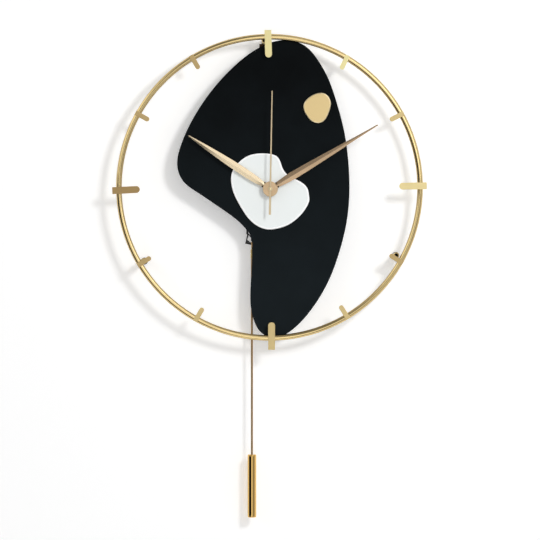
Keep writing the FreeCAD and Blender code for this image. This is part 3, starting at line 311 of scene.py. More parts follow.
@dataclass(frozen=True)
class SheetFinish:
    """A flat sheet or moulding of plastic, lacquer or rubber, with a fine texture."""

    name: str
    colour: Colour
    roughness: float
    texture_per_metre: float = 900.0
    texture_detail: float = 4.0
    relief: float = 0.15
    relief_depth: float = 0.00005
    cloud_per_metre: float = 24.0
    cloud_detail: float = 3.0
    tone: float = 0.06
    uneven: float = 0.05
    specular: float = 0.5
    coat: float = 0.0
    coat_roughness: float = 0.05
    sheen: float = 0.0
    # Emission that paints light into the surface: a painted glow.
    glow: float = 0.0
    # Painted light: between these heights the colour goes from darker at the highest to lighter at the
    # lowest, and fade is that painted light's share.
    lowest: float = 0.0
    highest: float = 0.0
    fade: float = 0.8

    def build(self) -> Material:
        """Makes the material, with painted light where its highest and lowest levels differ: lighter from its
        highest to its lowest level.
        """
        shader = Shader(self.name)
        shader.set(Coat_Weight=self.coat, Coat_Roughness=self.coat_roughness, Sheen_Weight=self.sheen)
        # The glow paints light into the surface.
        shader.set(Specular_IOR_Level=self.specular, Emission_Color=WHITE, Emission_Strength=self.glow)
        place = shader.add("ShaderNodeTexCoord").outputs["Object"]
        fine = shader.noise(place, self.texture_per_metre, self.texture_detail)
        cloud = shader.noise(place, self.cloud_per_metre, self.cloud_detail)
        amount = shader.span(cloud, 0.0, 1.0)
        # Painted light and shade: darker at the highest level, lighter at the lowest.
        if self.highest != self.lowest:
            level = shader.add("ShaderNodeSeparateXYZ", {0: place}).outputs[2]
            values = {"Value": level, "From Min": self.highest, "From Max": self.lowest}
            depth = shader.result("ShaderNodeMapRange", values)
            amount = shader.result("ShaderNodeMix", {0: self.fade, 2: amount, 3: depth})
        shader.vary(self, amount, cloud)
        shader.relief(fine, self.relief_depth, self.relief)
        return shader.material


Finish = MetalFinish | SheetFinish


class Paints:
    """Makes each material once and hands it out by its finish."""

    made: dict[Finish, Material] = {}

    @classmethod
    def of(cls, finish: Finish) -> Material:
        """The material of a finish.

        Args:
            finish: Any finish of the palette.

        Returns:
            Its material, which is built the first time.
        """
        if finish not in cls.made:
            cls.made[finish] = finish.build()
        return cls.made[finish]


class Tree(Graph):
    """A geometry tree with named inputs, the material among them."""

    def __init__(self, name: str) -> None:
        """Starts a tree with its material as the first named input."""
        super().__init__(bpy.data.node_groups.new(name, "GeometryNodeTree"))
        for way in ("INPUT", "OUTPUT"):
            self.tree.interface.new_socket("Geometry", in_out=way, socket_type="NodeSocketGeometry")
        self.start = self.add("NodeGroupInput")
        self.end = self.add("NodeGroupOutput")
        self.identifiers: dict[str, str] = {}
        self.inputs("Material", kind="NodeSocketMaterial")

    def inputs(self, *names: str, kind: str = "NodeSocketFloat") -> list[Socket]:
        """Adds named inputs of one type.

        Args:
            names: The inputs' names.
            kind: Blender's name of the socket type.

        Returns:
            The sockets that carry the inputs inside the tree.
        """
        for name in names:
            item = self.tree.interface.new_socket(name, in_out="INPUT", socket_type=kind)
            self.identifiers[name] = item.identifier
        return [self.start.outputs[name] for name in names]

    def finish(self, geometry: Socket) -> None:
        """Realizes the geometry, gives it its material and ends the tree.

        Args:
            geometry: The shape that the tree has built.
        """
        smooth = self.result("GeometryNodeSetShadeSmooth", {"Geometry": geometry})
        real = self.result("GeometryNodeRealizeInstances", {"Geometry": smooth})
        values = {"Geometry": real, "Material": self.start.outputs["Material"]}
        self.join(self.result("GeometryNodeSetMaterial", values), self.end.inputs[0])

    def grow(self, name: str, finish: Finish, values: dict[str, float], edge: float = 0.0) -> Piece:
        """Runs the tree and keeps its result as a plain mesh.

        Args:
            name: The new piece's name.
            finish: Its finish.
            values: The tree's other inputs, by name.
            edge: Width of the rounding on sharp edges, in metres, or 0 for none.

        Returns:
            The new piece, at the origin.
        """
        seed = added(name + "_seed", bpy.data.meshes.new(name + "_seed"))
        modifier = seed.modifiers.new("Form", "NODES")
        modifier.node_group = self.tree
        for key, value in {"Material": Paints.of(finish), **values}.items():
            modifier[self.identifiers[key]] = value
        if edge:
            round_edges(seed, edge, segments=3)
        mesh = baked(seed)
        bpy.data.objects.remove(seed)
        return placed(name, mesh)


def added(name: str, data: bpy.types.ID) -> Piece:
    """Puts a mesh, a curve, a lamp or a camera in the scene, at the origin.

    Args:
        name: The new object's name.
        data: The mesh, curve, lamp or camera.

    Returns:
        The new object.
    """
    item = bpy.data.objects.new(name, data)
    bpy.context.scene.collection.objects.link(item)
    return item


def placed(name: str, mesh: Mesh) -> Piece:
    """Puts a mesh in the scene as a piece of its own."""
    mesh.name = name
    return added(name, mesh)


def baked(source: Piece) -> Mesh:
    """The object's final mesh, with its modifiers applied.

    Args:
        source: An object in the scene.

    Returns:
        A new mesh.
    """
    bpy.context.view_layer.update()
    depsgraph = bpy.context.evaluated_depsgraph_get()
    return bpy.data.meshes.new_from_object(source.evaluated_get(depsgraph), depsgraph=depsgraph)


def weigh(piece: Piece) -> bpy.types.Modifier:
    """Adds normals that keep the flat faces flat.

    Args:
        piece: The piece, which gets one more modifier.

    Returns:
        The new modifier.
    """
    normals = piece.modifiers.new("Normals", "WEIGHTED_NORMAL")
    normals.weight = NORMAL_WEIGHT
    return normals


def round_edges(piece: Piece, width: float, segments: int = 2) -> None:
    """Adds rounded edges and the normals that go with them.

    Args:
        piece: The piece, which gets two more modifiers.
        width: Width of the rounding, in metres.
        segments: Faces across the rounding.
    """
    bevel = piece.modifiers.new("Edges", "BEVEL")
    bevel.width = width
    bevel.segments = segments
    bevel.limit_method = "ANGLE"
    bevel.angle_limit = math.radians(SHARP_DEGREES)
    bevel.use_clamp_overlap = True
    weigh(piece).keep_sharp = True


def settle(piece: Piece) -> Piece:
    """Applies a piece's modifiers.

    Args:
        piece: The piece.

    Returns:
        The same piece, with a plain mesh.
    """
    mesh = baked(piece)
    piece.modifiers.clear()
    piece.data = mesh
    return piece


def dress(piece: Piece, node: str, extra: bool = False) -> None:
    """Tells the frame what a piece is.

    Args:
        piece: The finished piece.
        node: The construction node whose body it rides on.
        extra: Whether it joins the node instead of standing for it.
    """
    body = frame["nodes"][node]["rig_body"]
    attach(piece, body)
    if not extra:
        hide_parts(node)
    log.info("%s rides on %s, %d faces", piece.name, body, len(piece.data.polygons))


def middle_of(node: str) -> Vector:
    """The middle of a construction node's box."""
    low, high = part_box(node)
    return (low + high) / 2


def merged(node: str) -> Shape:
    """A copy of a node's mesh with its loose triangles joined.

    Args:
        node: The name of a construction node.

    Returns:
        A new shape, which the caller frees.
    """
    mesh = bmesh.new()
    mesh.from_mesh(frame["nodes"][node].data)
    bmesh.ops.remove_doubles(mesh, verts=mesh.verts, dist=MERGE)
    return mesh


def outward(mesh: Mesh) -> None:
    """Joins doubled points and turns every face outwards.

    Args:
        mesh: The mesh, which is changed.
    """
    shape = bmesh.new()
    shape.from_mesh(mesh)
    bmesh.ops.remove_doubles(shape, verts=shape.verts, dist=MERGE / 2)
    bmesh.ops.recalc_face_normals(shape, faces=shape.faces)
    shape.to_mesh(mesh)
    shape.free()


def piece_from(shape: Shape, name: str, finish: Finish, sharp: float = 30.0) -> Piece:
    """Keeps a built shape as a smooth piece.

    Args:
        shape: The shape, which is used up.
        name: The new piece's name.
        finish: Its finish.
        sharp: Edges that turn by more than this many degrees stay sharp.

    Returns:
        The new piece.
    """
    mesh = bpy.data.meshes.new(name)
    shape.to_mesh(mesh)
    shape.free()
    mesh.shade_smooth()
    mesh.set_sharp_from_angle(angle=math.radians(sharp))
    mesh.materials.append(Paints.of(finish))
    return placed(name, mesh)


def refined(
    node: str,
    name: str,
    finish: Finish,
    edge: float = 0.0,
    ease: Callable[[Shape], None] | None = None,
) -> None:
    """Puts a copy in place of a construction node, with rounded edges and its own finish.

    Args:
        node: The construction node.
        name: The new piece's name.
        finish: Its finish.
        edge: Width of the rounding, in metres, or 0 for none.
        ease: Changes the shape before its edges are rounded.
    """
    shape = merged(node)
    limit = math.radians(JOIN_DEGREES)
    bmesh.ops.dissolve_limit(shape, angle_limit=limit, verts=shape.verts, edges=shape.edges)
    if ease:
        ease(shape)
    piece = piece_from(shape, name, finish, sharp=SHARP_DEGREES)
    if edge:
        round_edges(piece, edge)
        settle(piece)
    dress(piece, node)


def recolour(node: str, finish: Finish) -> None:
    """Gives a construction node that stays a better material.

    Args:
        node: The construction node.
        finish: Its new finish.
    """
    mesh = frame["nodes"][node].data
    mesh.materials.clear()
    mesh.materials.append(Paints.of(finish))
    log.info("%s keeps its mesh in %s", node, finish.name)


# Finishes

GOLD = (1.0, 0.79, 0.388)
# Painted light and shade: each bar's gold is painted lighter or darker for how the light falls on it.
BAR_PAINTED_LIGHT = {
    1: PaintedBarLight.LIT_MOST,
    2: PaintedBarLight.EVEN,
    3: PaintedBarLight.BRIGHT,
    4: PaintedBarLight.LIT_LESS,
    5: PaintedBarLight.EVEN,
    6: PaintedBarLight.EVEN,
    7: PaintedBarLight.EVEN,
    8: PaintedBarLight.LIT_LESS,
    9: PaintedBarLight.DARK,
    10: PaintedBarLight.LIT_LESS,
    11: PaintedBarLight.LIT_LESS,
    12: PaintedBarLight.LIT_MOST,
}


@dataclass(frozen=True)
class Palette:
    """Every finish of the clock."""

    ring: MetalFinish = MetalFinish(
        "gold_plated_ring", (0.76, 0.585, 0.285), 0.15, Grain.AROUND, marks_per_metre=900.0, relief=0.0,
        tone=0.05, uneven=0.03, edge_tint=(0.12, 0.08, 0.04),
    )
    bar: MetalFinish = MetalFinish("gold_plated_bar", GOLD, 0.44, Grain.LENGTHWISE)
    spacer: MetalFinish = MetalFinish("rolled_gold_spacer", (0.55, 0.42, 0.20), 0.3)
    # The hanger plate's near-black brown is painted shade for a plate that stands in shadow behind the top
    # bar.
    hanger: MetalFinish = MetalFinish("dark_bronze_plate", (0.06, 0.035, 0.02), 0.42)
    hour_hand: MetalFinish = MetalFinish(
        "gold_hour_hand", (0.84, 0.69, 0.47), 0.26, Grain.LENGTHWISE, stretch=0.05, relief=0.05, tone=0.04,
    )
    minute_hand: MetalFinish = MetalFinish(
        "rose_minute_hand", (0.82, 0.58, 0.36), 0.22, Grain.LENGTHWISE, stretch=0.05, relief=0.05, tone=0.04,
    )
    hub: MetalFinish = MetalFinish(
        "gold_turned_disc", (0.68, 0.49, 0.295), 0.3, Grain.AROUND, marks_per_metre=1800.0, relief=0.6,
        tone=0.16, centre=HUB,
    )
    second: MetalFinish = MetalFinish("gold_second_hand", (0.72, 0.58, 0.38), 0.35, Grain.LENGTHWISE)
    pin: MetalFinish = MetalFinish("polished_shaft_end", (0.90, 0.74, 0.42), 0.12, relief=0.05)
    # Near-black paint for the plugs that stand for the shade in the hands' relief notches.
    notch_shade: SheetFinish = SheetFinish("painted_notch_shade", (0.035, 0.022, 0.008), 0.6, specular=0.1)
    rod: MetalFinish = MetalFinish("bronze_drawn_rod", (0.40, 0.25, 0.11), 0.24, Grain.UPRIGHT)
    bob: MetalFinish = MetalFinish(
        "mirror_brass_bob", (0.79, 0.51, 0.17), 0.05, Grain.UPRIGHT, relief=0.04, tone=0.03, uneven=0.02,
    )
    ferrule: MetalFinish = MetalFinish("turned_brass", (0.72, 0.53, 0.22), 0.2)
    steel: MetalFinish = MetalFinish("bright_zinc", (0.60, 0.60, 0.58), 0.3)
    # The board's colour is painted darker towards its top and lighter towards its bottom: painted light and
    # shade.
    board: SheetFinish = SheetFinish(
        "satin_black_board", (0.0054, 0.0079, 0.0094), 0.5, texture_per_metre=1400.0, specular=0.05,
        relief=0.05, uneven=0.03, tone=0.75, lowest=-0.30, highest=-0.02,
    )
    # The pale plate's glow is painted light, and its polished edge's glow is a painted highlight.
    pale: SheetFinish = SheetFinish(
        "pale_acrylic", (0.87, 0.91, 0.90), 0.22, relief=0.02, tone=0.01, specular=0.4, coat=0.3, glow=0.05,
    )
    pale_edge: SheetFinish = SheetFinish(
        "polished_acrylic_edge_painted_glow", (0.97, 0.98, 0.98), 0.12, relief=0.0, coat=0.6, glow=0.16,
    )
    pebble: MetalFinish = MetalFinish("satin_gold_pebble", (0.83, 0.64, 0.32), 0.34, tone=0.03)
    pebble_edge: MetalFinish = MetalFinish("polished_gold_edge", (0.92, 0.78, 0.50), 0.3)
    case: SheetFinish = SheetFinish("moulded_black_case", (0.018, 0.018, 0.020), 0.55, relief=0.5)
    pad: SheetFinish = SheetFinish("soft_black_pad", (0.02, 0.02, 0.02), 0.8, sheen=0.3, relief=0.4)
    knob: SheetFinish = SheetFinish("moulded_red_knob", (0.36, 0.02, 0.015), 0.42, relief=0.3)
    wheel: SheetFinish = SheetFinish("natural_wheel", (0.78, 0.76, 0.70), 0.4)
    laminate: SheetFinish = SheetFinish("circuit_laminate", (0.06, 0.12, 0.04), 0.35, coat=0.4)
    cell: SheetFinish = SheetFinish("cell_jacket_dark", (0.035, 0.04, 0.05), 0.3, coat=0.5, relief=0.02)
    cell_band: MetalFinish = MetalFinish(
        "cell_jacket_copper", (0.62, 0.30, 0.12), 0.28, relief=0.02, tone=0.02, uneven=0.02,
    )
    mark: SheetFinish = SheetFinish("moulded_mark", (0.05, 0.05, 0.052), 0.4, relief=0.2)
    copper: MetalFinish = MetalFinish("wound_copper", (0.62, 0.24, 0.08), 0.3)
    core: MetalFinish = MetalFinish("motor_core", (0.42, 0.42, 0.42), 0.4)
    magnet: MetalFinish = MetalFinish("ferrite_magnet", (0.10, 0.10, 0.11), 0.55)


PALETTE = Palette()


# Dial


@dataclass
class BarPlace:
    """Where a marker bar lies on the dial, measured on its construction node."""

    middle: Vector
    along: Vector
    length: float
    width: float
    back: float
    front: float

    @classmethod
    def of(cls, node: str) -> BarPlace:
        """Measures a node.

        Args:
            node: The name of an hour bar's node.

        Returns:
            Its place, with along pointing away from the ring's centre.
        """
        shape = merged(node)
        points = [vertex.co.copy() for vertex in shape.verts]
        shape.free()
        centre = sum(points, Vector()) / len(points)
        xx = sum((p.x - centre.x) ** 2 for p in points)
        zz = sum((p.z - centre.z) ** 2 for p in points)
        xz = sum((p.x - centre.x) * (p.z - centre.z) for p in points)
        angle = math.atan2(2 * xz, xx - zz) / 2
        along = Vector((math.cos(angle), 0, math.sin(angle)))
        if along.dot(centre - middle_of("dial_ring")) < 0:
            along = -along
        across = along.cross(FRONT)
        ends = [p.dot(along) for p in points]
        sides = [p.dot(across) for p in points]
        depths = [p.y for p in points]
        middle = along * (max(ends) + min(ends)) / 2 + across * (max(sides) + min(sides)) / 2
        length = max(ends) - min(ends)
        width = max(sides) - min(sides)
        return cls(middle, along, length, width, max(depths), min(depths))

    def matrix(self) -> Matrix:
        """The move from a bar that lies flat at the origin, with its length along Y.

        Returns:
            The matrix that sets such a bar in its place on the dial.
        """
        across = self.along.cross(FRONT)
        turn = Matrix((across, self.along, FRONT)).transposed().to_4x4()
        return Matrix.Translation(self.middle + Vector((0, self.back, 0))) @ turn


@dataclass
class Dial:
    """The ring, its twelve bars, the wall spacers and the hanger plate."""

    around: int = 432
    section: int = 40
    bar_corner: float = 0.5 * MM
    bar_edge: float = 0.32 * MM
    bar_round_steps: int = 14
    bar_full_round: float = 0.4998
    # How much redder and less blue a bar's painted shade makes its gold.
    green_fade: float = 0.3
    blue_fade: float = 0.5
    small_edge: float = 0.15 * MM

    def ring_tree(self) -> Tree:
        """A round rod bent to a circle.

        Returns:
            A tree with the sizes of the circle and the rod as inputs.
        """
        tree = Tree("Ring rod")
        radius, rod_radius = tree.inputs("Radius", "Rod radius")
        around, section = tree.inputs("Steps around", "Steps in section", kind="NodeSocketInt")
        circle, profile = (
            tree.result("GeometryNodeCurvePrimitiveCircle", {"Resolution": steps, "Radius": size})
            for steps, size in ((around, radius), (section, rod_radius))
        )
        tree.finish(tree.result("GeometryNodeCurveToMesh", {"Curve": circle, "Profile Curve": profile}))
        return tree

    def make_ring(self) -> None:
        """The ring as one smooth rod."""
        low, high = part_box("dial_ring")
        rod_radius = (high.y - low.y) / 2
        sizes = {
            "Radius": (high.x - low.x) / 2 - rod_radius,
            "Rod radius": rod_radius,
            "Steps around": self.around,
            "Steps in section": self.section,
        }
        ring = self.ring_tree().grow("ring_rod", PALETTE.ring, sizes)
        ring.data.transform(Matrix.Translation((low + high) / 2) @ STAND)
        outward(ring.data)
        dress(ring, "dial_ring")

    def bar_tree(self) -> Tree:
        """A flat bar, round at one end and nearly square at the other, with its UV map in metres.

        Returns:
            A tree with the bar's sizes as inputs.
        """
        tree = Tree("Marker bar")
        width, length, thickness, corner = tree.inputs("Width", "Length", "Thickness", "Corner")
        (steps,) = tree.inputs("Round steps", kind="NodeSocketInt")
        shape = tree.result("GeometryNodeCurvePrimitiveQuadrilateral", {"Width": width, "Height": length})
        place = tree.result("GeometryNodeInputPosition")
        along = tree.add("ShaderNodeSeparateXYZ", {0: place}).outputs[1]
        inner = tree.calculate("LESS_THAN", along, 0.0)
        full = tree.calculate("MULTIPLY", width, self.bar_full_round)
        radius = tree.result("ShaderNodeMix", {0: inner, 2: corner, 3: full})
        values = {"Curve": shape, "Count": steps, "Radius": radius, "Limit Radius": False}
        outline = tree.result("GeometryNodeFilletCurve", values, mode="POLY")
        flat = tree.result("GeometryNodeFillCurve", {"Curve": outline}, mode="NGONS")
        values = {"Mesh": flat, "Offset Scale": thickness}
        upper = tree.result("GeometryNodeExtrudeMesh", values, mode="FACES")
        under = tree.result("GeometryNodeFlipFaces", {"Mesh": flat})
        both = tree.add("GeometryNodeJoinGeometry")
        for part in (under, upper):
            tree.join(part, both.inputs[0])
        values = {"Geometry": both.outputs[0], "Distance": MERGE / 2}
        whole = tree.result("GeometryNodeMergeByDistance", values)
        values = {"Geometry": whole, "Name": UV_NAME, "Value": place}
        named = tree.result("GeometryNodeStoreNamedAttribute", values, data_type="FLOAT2", domain="CORNER")
        tree.finish(named)
        return tree

    def bar_finish(self, tone: PaintedBarLight) -> MetalFinish:
        """The bars' finish with its painted light: a bar painted darker, as painted shade, is painted redder
        as well.

        Args:
            tone: How much light is painted into the bar.

        Returns:
            The bar's own finish.
        """
        name = f"{PALETTE.bar.name}_{tone.name.lower()}"
        red, green, blue = shaded(GOLD, tone.value)
        pale = tone.value / PaintedBarLight.EVEN.value
        colour = (red, green * pale**self.green_fade, blue * pale**self.blue_fade)
        return replace(PALETTE.bar, name=name, colour=colour)

    def make_bars(self) -> None:
        """The twelve bars, each where its node lies."""
        tree = self.bar_tree()
        for hour in range(1, 13):
            node = f"hour_bar_{hour:02d}"
            place = BarPlace.of(node)
            sizes = {
                "Width": place.width,
                "Length": place.length,
                "Thickness": place.back - place.front,
                "Corner": self.bar_corner,
                "Round steps": self.bar_round_steps,
            }
            # Each bar takes the gold with its own painted light and shade.
            finish = self.bar_finish(BAR_PAINTED_LIGHT[hour])
            bar = tree.grow(f"marker_bar_{hour:02d}", finish, sizes, self.bar_edge)
            bar.data.transform(place.matrix())
            dress(bar, node)

    def build(self) -> None:
        """Makes every piece of the dial."""
        self.make_ring()
        self.make_bars()
        for hour in (4, 8, 12):
            node = f"wall_spacer_{hour:02d}"
            refined(node, f"rolled_spacer_{hour:02d}", PALETTE.spacer, self.small_edge)
        # The hanger plate takes its painted shade.
        refined("hanger_plate", "hanger_plate_dark", PALETTE.hanger, self.small_edge)
        refined("wall_pads", "soft_wall_pads", PALETTE.pad, self.small_edge)


# Board


@dataclass
class Plate:
    """A flat plate with a smooth outline and a rounded edge in a finish of its own.

    Its edge is the radius of the rounding. Its band is the width of a flat border round the front
    face, in the edge's finish, or 0 for none.
    """

    node: str
    name: str
    slot: Slot
    face: Finish
    rim: Finish
    edge: float
    band: float = 0.0
    corner_degrees: float = 24.0
    curve_steps: int = 3
    edge_steps: int = 4
    edge_fit: float = 0.999

    def outlines(self) -> list[list[Vector]]:
        """The closed edges of the node's rear face, each as points in order, the longest first.

        Returns:
            One list of points for each closed edge.
        """
        shape = merged(self.node)
        rear = max(vertex.co.y for vertex in shape.verts)
        steps: dict[int, list[int]] = {}
        for edge in shape.edges:
            flat = [f for f in edge.link_faces if f.normal.y > FLAT and abs(f.verts[0].co.y - rear) < MERGE]
            if len(flat) == 1:
                first, second = edge.verts
                steps.setdefault(first.index, []).append(second.index)
                steps.setdefault(second.index, []).append(first.index)
        shape.verts.ensure_lookup_table()
        loops = []
        left = set(steps)
        while left:
            start = min(left)
            loop = [start]
            left.discard(start)
            following = steps[start][0]
            while following in left:
                loop.append(following)
                left.discard(following)
                following = next((i for i in steps[following] if i in left), start)
            loops.append([shape.verts[i].co.copy() for i in loop])
        shape.free()
        return sorted(loops, key=len, reverse=True)

    def solid(self) -> Mesh:
        """The plate as a filled curve through the outlines, smooth between its sharp corners.

        Returns:
            The plate's mesh, in its place.
        """
        low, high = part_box(self.node)
        curve = bpy.data.curves.new(self.name, "CURVE")
        curve.dimensions = "2D"
        curve.fill_mode = "BOTH"
        curve.resolution_u = self.curve_steps
        curve.extrude = (high.y - low.y) / 2 - self.edge * self.edge_fit
        curve.bevel_depth = self.edge
        curve.bevel_resolution = self.edge_steps
        curve.offset = -self.edge
        for loop in self.outlines():
            spline = curve.splines.new("BEZIER")
            spline.bezier_points.add(len(loop) - 1)
            spline.use_cyclic_u = True
            for i, (point, place) in enumerate(zip(spline.bezier_points, loop)):
                before = place - loop[i - 1]
                after = loop[(i + 1) % len(loop)] - place
                sharp = before.angle(after) > math.radians(self.corner_degrees)
                point.co = (place.x, place.z, 0)
                point.handle_left_type = point.handle_right_type = "VECTOR" if sharp else "AUTO"
        source = added(self.name + "_outline", curve)
        mesh = baked(source)
        bpy.data.objects.remove(source)
        mesh.transform(Matrix.Translation((0, (low.y + high.y) / 2, 0)) @ STAND)
        outward(mesh)
        return mesh

    def border(self, mesh: Mesh) -> None:
        """Sets the flat border off from the front face.

        Args:
            mesh: The plate's mesh, which is changed.
        """
        shape = bmesh.new()
        shape.from_mesh(mesh)
        front = {face for face in shape.faces if face.normal.y < -FLAT}
        inside = [edge for edge in shape.edges if all(face in front for face in edge.link_faces)]
        bmesh.ops.dissolve_edges(shape, edges=inside, use_verts=False)
        whole = [face for face in shape.faces if face.normal.y < -FLAT]
        for face in bmesh.ops.inset_region(shape, faces=whole, thickness=self.band)["faces"]:
            face.material_index = 1
        shape.to_mesh(mesh)
        shape.free()

    def build(self) -> None:
        """Makes the plate in place of its node."""
        mesh = self.solid()
        mesh.shade_smooth()
        mesh.materials.clear()
        for finish in (self.face, self.rim):
            mesh.materials.append(Paints.of(finish))
        for polygon in mesh.polygons:
            polygon.material_index = 0 if abs(polygon.normal.y) > FLAT else 1
        if self.band:
            self.border(mesh)
        plate = placed(self.name, mesh)
        weigh(plate)
        dress(settle(plate), self.node)


@dataclass
class Board:
    """The black board, its two accent plates and the hardware that carries it."""

    board_edge: float = 0.3 * MM
    pale_edge: float = 1.48 * MM
    # The pale plate's border takes the edge's finish with its painted highlight glow.
    pale_band: float = 0.6 * MM
    pebble_edge: float = 1.3 * MM
    small_edge: float = 0.2 * MM

    def build(self) -> None:
        """Makes every piece of the board."""
        black, pale, clear = PALETTE.board, PALETTE.pale, PALETTE.pale_edge
        gold, gold_rim = PALETTE.pebble, PALETTE.pebble_edge
        for plate in (
            Plate("dial_board", "kidney_board", Slot.BOARD, black, black, self.board_edge),
            Plate("pale_centre_plate", "pale_plate", Slot.PALE, pale, clear, self.pale_edge, self.pale_band),
            Plate("gold_pebble_plate", "gold_pebble", Slot.PEBBLE, gold, gold_rim, self.pebble_edge),
        ):
            plate.build()
        refined("board_nuts", "stud_nuts", PALETTE.steel, self.small_edge)
        refined("board_studs", "stud_pair", PALETTE.steel)
        refined("board_sleeves", "sleeve_pair", PALETTE.ferrule, self.small_edge)


# Shapes


def lofted(sections: list[list[Vector]]) -> Shape:
    """A closed skin over sections of equal point counts.

    Args:
        sections: Rings of points, in order along the piece.

    Returns:
        The skin with flat caps at both ends.
    """
    shape = bmesh.new()
    rings = [[shape.verts.new(point) for point in section] for section in sections]
    count = len(sections[0])
    for ring, following in zip(rings, rings[1:]):
        for i in range(count):
            j = (i + 1) % count
            shape.faces.new((ring[i], ring[j], following[j], following[i]))
    shape.faces.new(rings[0])
    shape.faces.new(rings[-1])
    bmesh.ops.recalc_face_normals(shape, faces=shape.faces)
    return shape


def spun(profile: list[Point], segments: int) -> Shape:
    """A solid of revolution about the Z axis.

    Args:
        profile: Radius and height of each point, from one end to the other.
        segments: Steps around.

    Returns:
        The solid, closed at both ends.
    """
    sections = []
    for radius, height in profile:
        turns = [math.tau * i / segments for i in range(segments)]
        sections.append([Vector((radius * math.cos(t), radius * math.sin(t), height)) for t in turns])
    return lofted(sections)


def quarter(steps: int) -> list[float]:
    """The turns of a quarter circle, in equal steps."""
    return [math.pi / 2 * i / steps for i in range(steps + 1)]


def rounded(radius: float, low: float, high: float, edge: float, steps: int = 5) -> list[Point]:
    """The profile of a rod whose two ends are rounded.

    Args:
        radius: The rod's radius.
        low: Height of its lower end.
        high: Height of its upper end.
        edge: Radius of the rounding.
        steps: Steps in each rounding.

    Returns:
        Radius and height of each point, from the bottom to the top.
    """
    inner = radius - edge
    lower = [(inner + edge * math.sin(t), low + edge - edge * math.cos(t)) for t in quarter(steps)]
    lower.append((radius, low + edge + (high - low - 2 * edge) * HOLD))
    return lower + [(r, low + high - z) for r, z in reversed(lower)]


def slab(outline: list[Point], back: float, front: float) -> Shape:
    """A flat prism that stands off a face of the clock's back.

    Args:
        outline: Points to the right and up, in order.
        back: Depth of the face that it stands on.
        front: Depth of its own face.

    Returns:
        The prism.
    """
    return lofted([[Vector((x, depth, z)) for x, z in outline] for depth in (back, front)])


def bar_outline(middle: Point, width: float, height: float) -> list[Point]:
    """The outline of an upright rectangle about its middle.

    Args:
        middle: Its middle.
        width: Its width.
        height: Its height.

    Returns:
        Its four corners, in order.
    """
    x, z = middle
    right = width / 2
    up = height / 2
    return [(x - right, z - up), (x + right, z - up), (x + right, z + up), (x - right, z + up)]


# Movement


@dataclass
class Cell:
    """The AA cell: a two-coloured jacket, crimped ends and the nub."""

    segments: int = 64
    core: float = 0.2 * MM
    jacket_round: float = 0.5 * MM
    lip_shares: tuple[Point, ...] = ((1.0, 0.6), (1.0, 0.0), (0.3, 0.2), (0.0, 1.0))
    cap_inset: float = 0.55 * MM
    cap_round: float = 0.3
    foot_rise: float = 0.2
    minus_face: float = 0.7
    minus_round: float = 0.4
    nub_length: float = 1.0 * MM
    nub_radius: float = 2.7 * MM
    nub_round: float = 0.5
    band_share: float = 0.34
    node: str = "aa_cell"

    def __post_init__(self) -> None:
        """Measures the cell and finds which end has the nub."""
        self.low, self.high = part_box(self.node)
        self.radius = (self.high.z - self.low.z) / 2
        shape = merged(self.node)
        axis = (self.low.z + self.high.z) / 2
        right = [abs(vertex.co.z - axis) for vertex in shape.verts if self.high.x - vertex.co.x < MERGE]
        shape.free()
        self.plus_right = max(right) < self.radius / 2
        self.way = 1 if self.plus_right else -1
        start = self.low.x if self.plus_right else self.high.x
        self.flat_end = Vector((start, (self.low.y + self.high.y) / 2, axis))
        self.turn = Matrix.Rotation(math.radians(90 * self.way), 4, "Y")

    def add(self, name: str, profile: list[Point], finish: Finish, slot: Slot) -> None:
        """Adds one turned part of the cell.

        Args:
            name: The new piece's name.
            profile: Radius, and distance from the flat end, of each point.
            finish: Its finish.
            slot: The record's slot; not used.
        """
        shape = spun(profile, self.segments)
        shape.transform(self.turn)
        shape.transform(Matrix.Translation(self.flat_end))
        dress(piece_from(shape, name, finish), self.node)

    def build(self) -> None:
        """Makes the cell."""
        length = self.high.x - self.low.x
        body = length - self.nub_length
        seam = body * (1 - self.band_share)
        edge = self.jacket_round
        deep = edge * self.lip_shares[0][1]
        lip = [(self.radius - edge * inset, edge * depth) for inset, depth in self.lip_shares]
        lower = [(self.core, deep)] + lip + [(self.radius, seam), (self.core, seam)]
        self.add("cell_jacket", lower, PALETTE.cell, Slot.CELL)
        lip = [(radius, body - depth) for radius, depth in reversed(lip)]
        upper = [(self.core, seam), (self.radius, seam)] + lip + [(self.core, body - deep)]
        self.add("cell_band", upper, PALETTE.cell_band, Slot.CELL)
        cap = self.radius - edge - self.cap_inset
        nub = self.nub_radius
        plus = [(self.core, body - edge), (cap, body - edge), (cap, body - edge * self.cap_round)]
        plus += [(nub + edge, body - edge * self.foot_rise), (nub, body)]
        plus += [(nub, length - edge * self.nub_round), (nub - edge * self.nub_round, length)]
        self.add("cell_plus_cap", plus + [(self.core, length)], PALETTE.steel, Slot.STEEL)
        minus = [(self.core, 0.0), (cap * self.minus_face, 0.0), (cap, edge * self.minus_round)]
        self.add("cell_minus_cap", minus + [(cap, edge), (self.core, edge)], PALETTE.steel, Slot.STEEL)


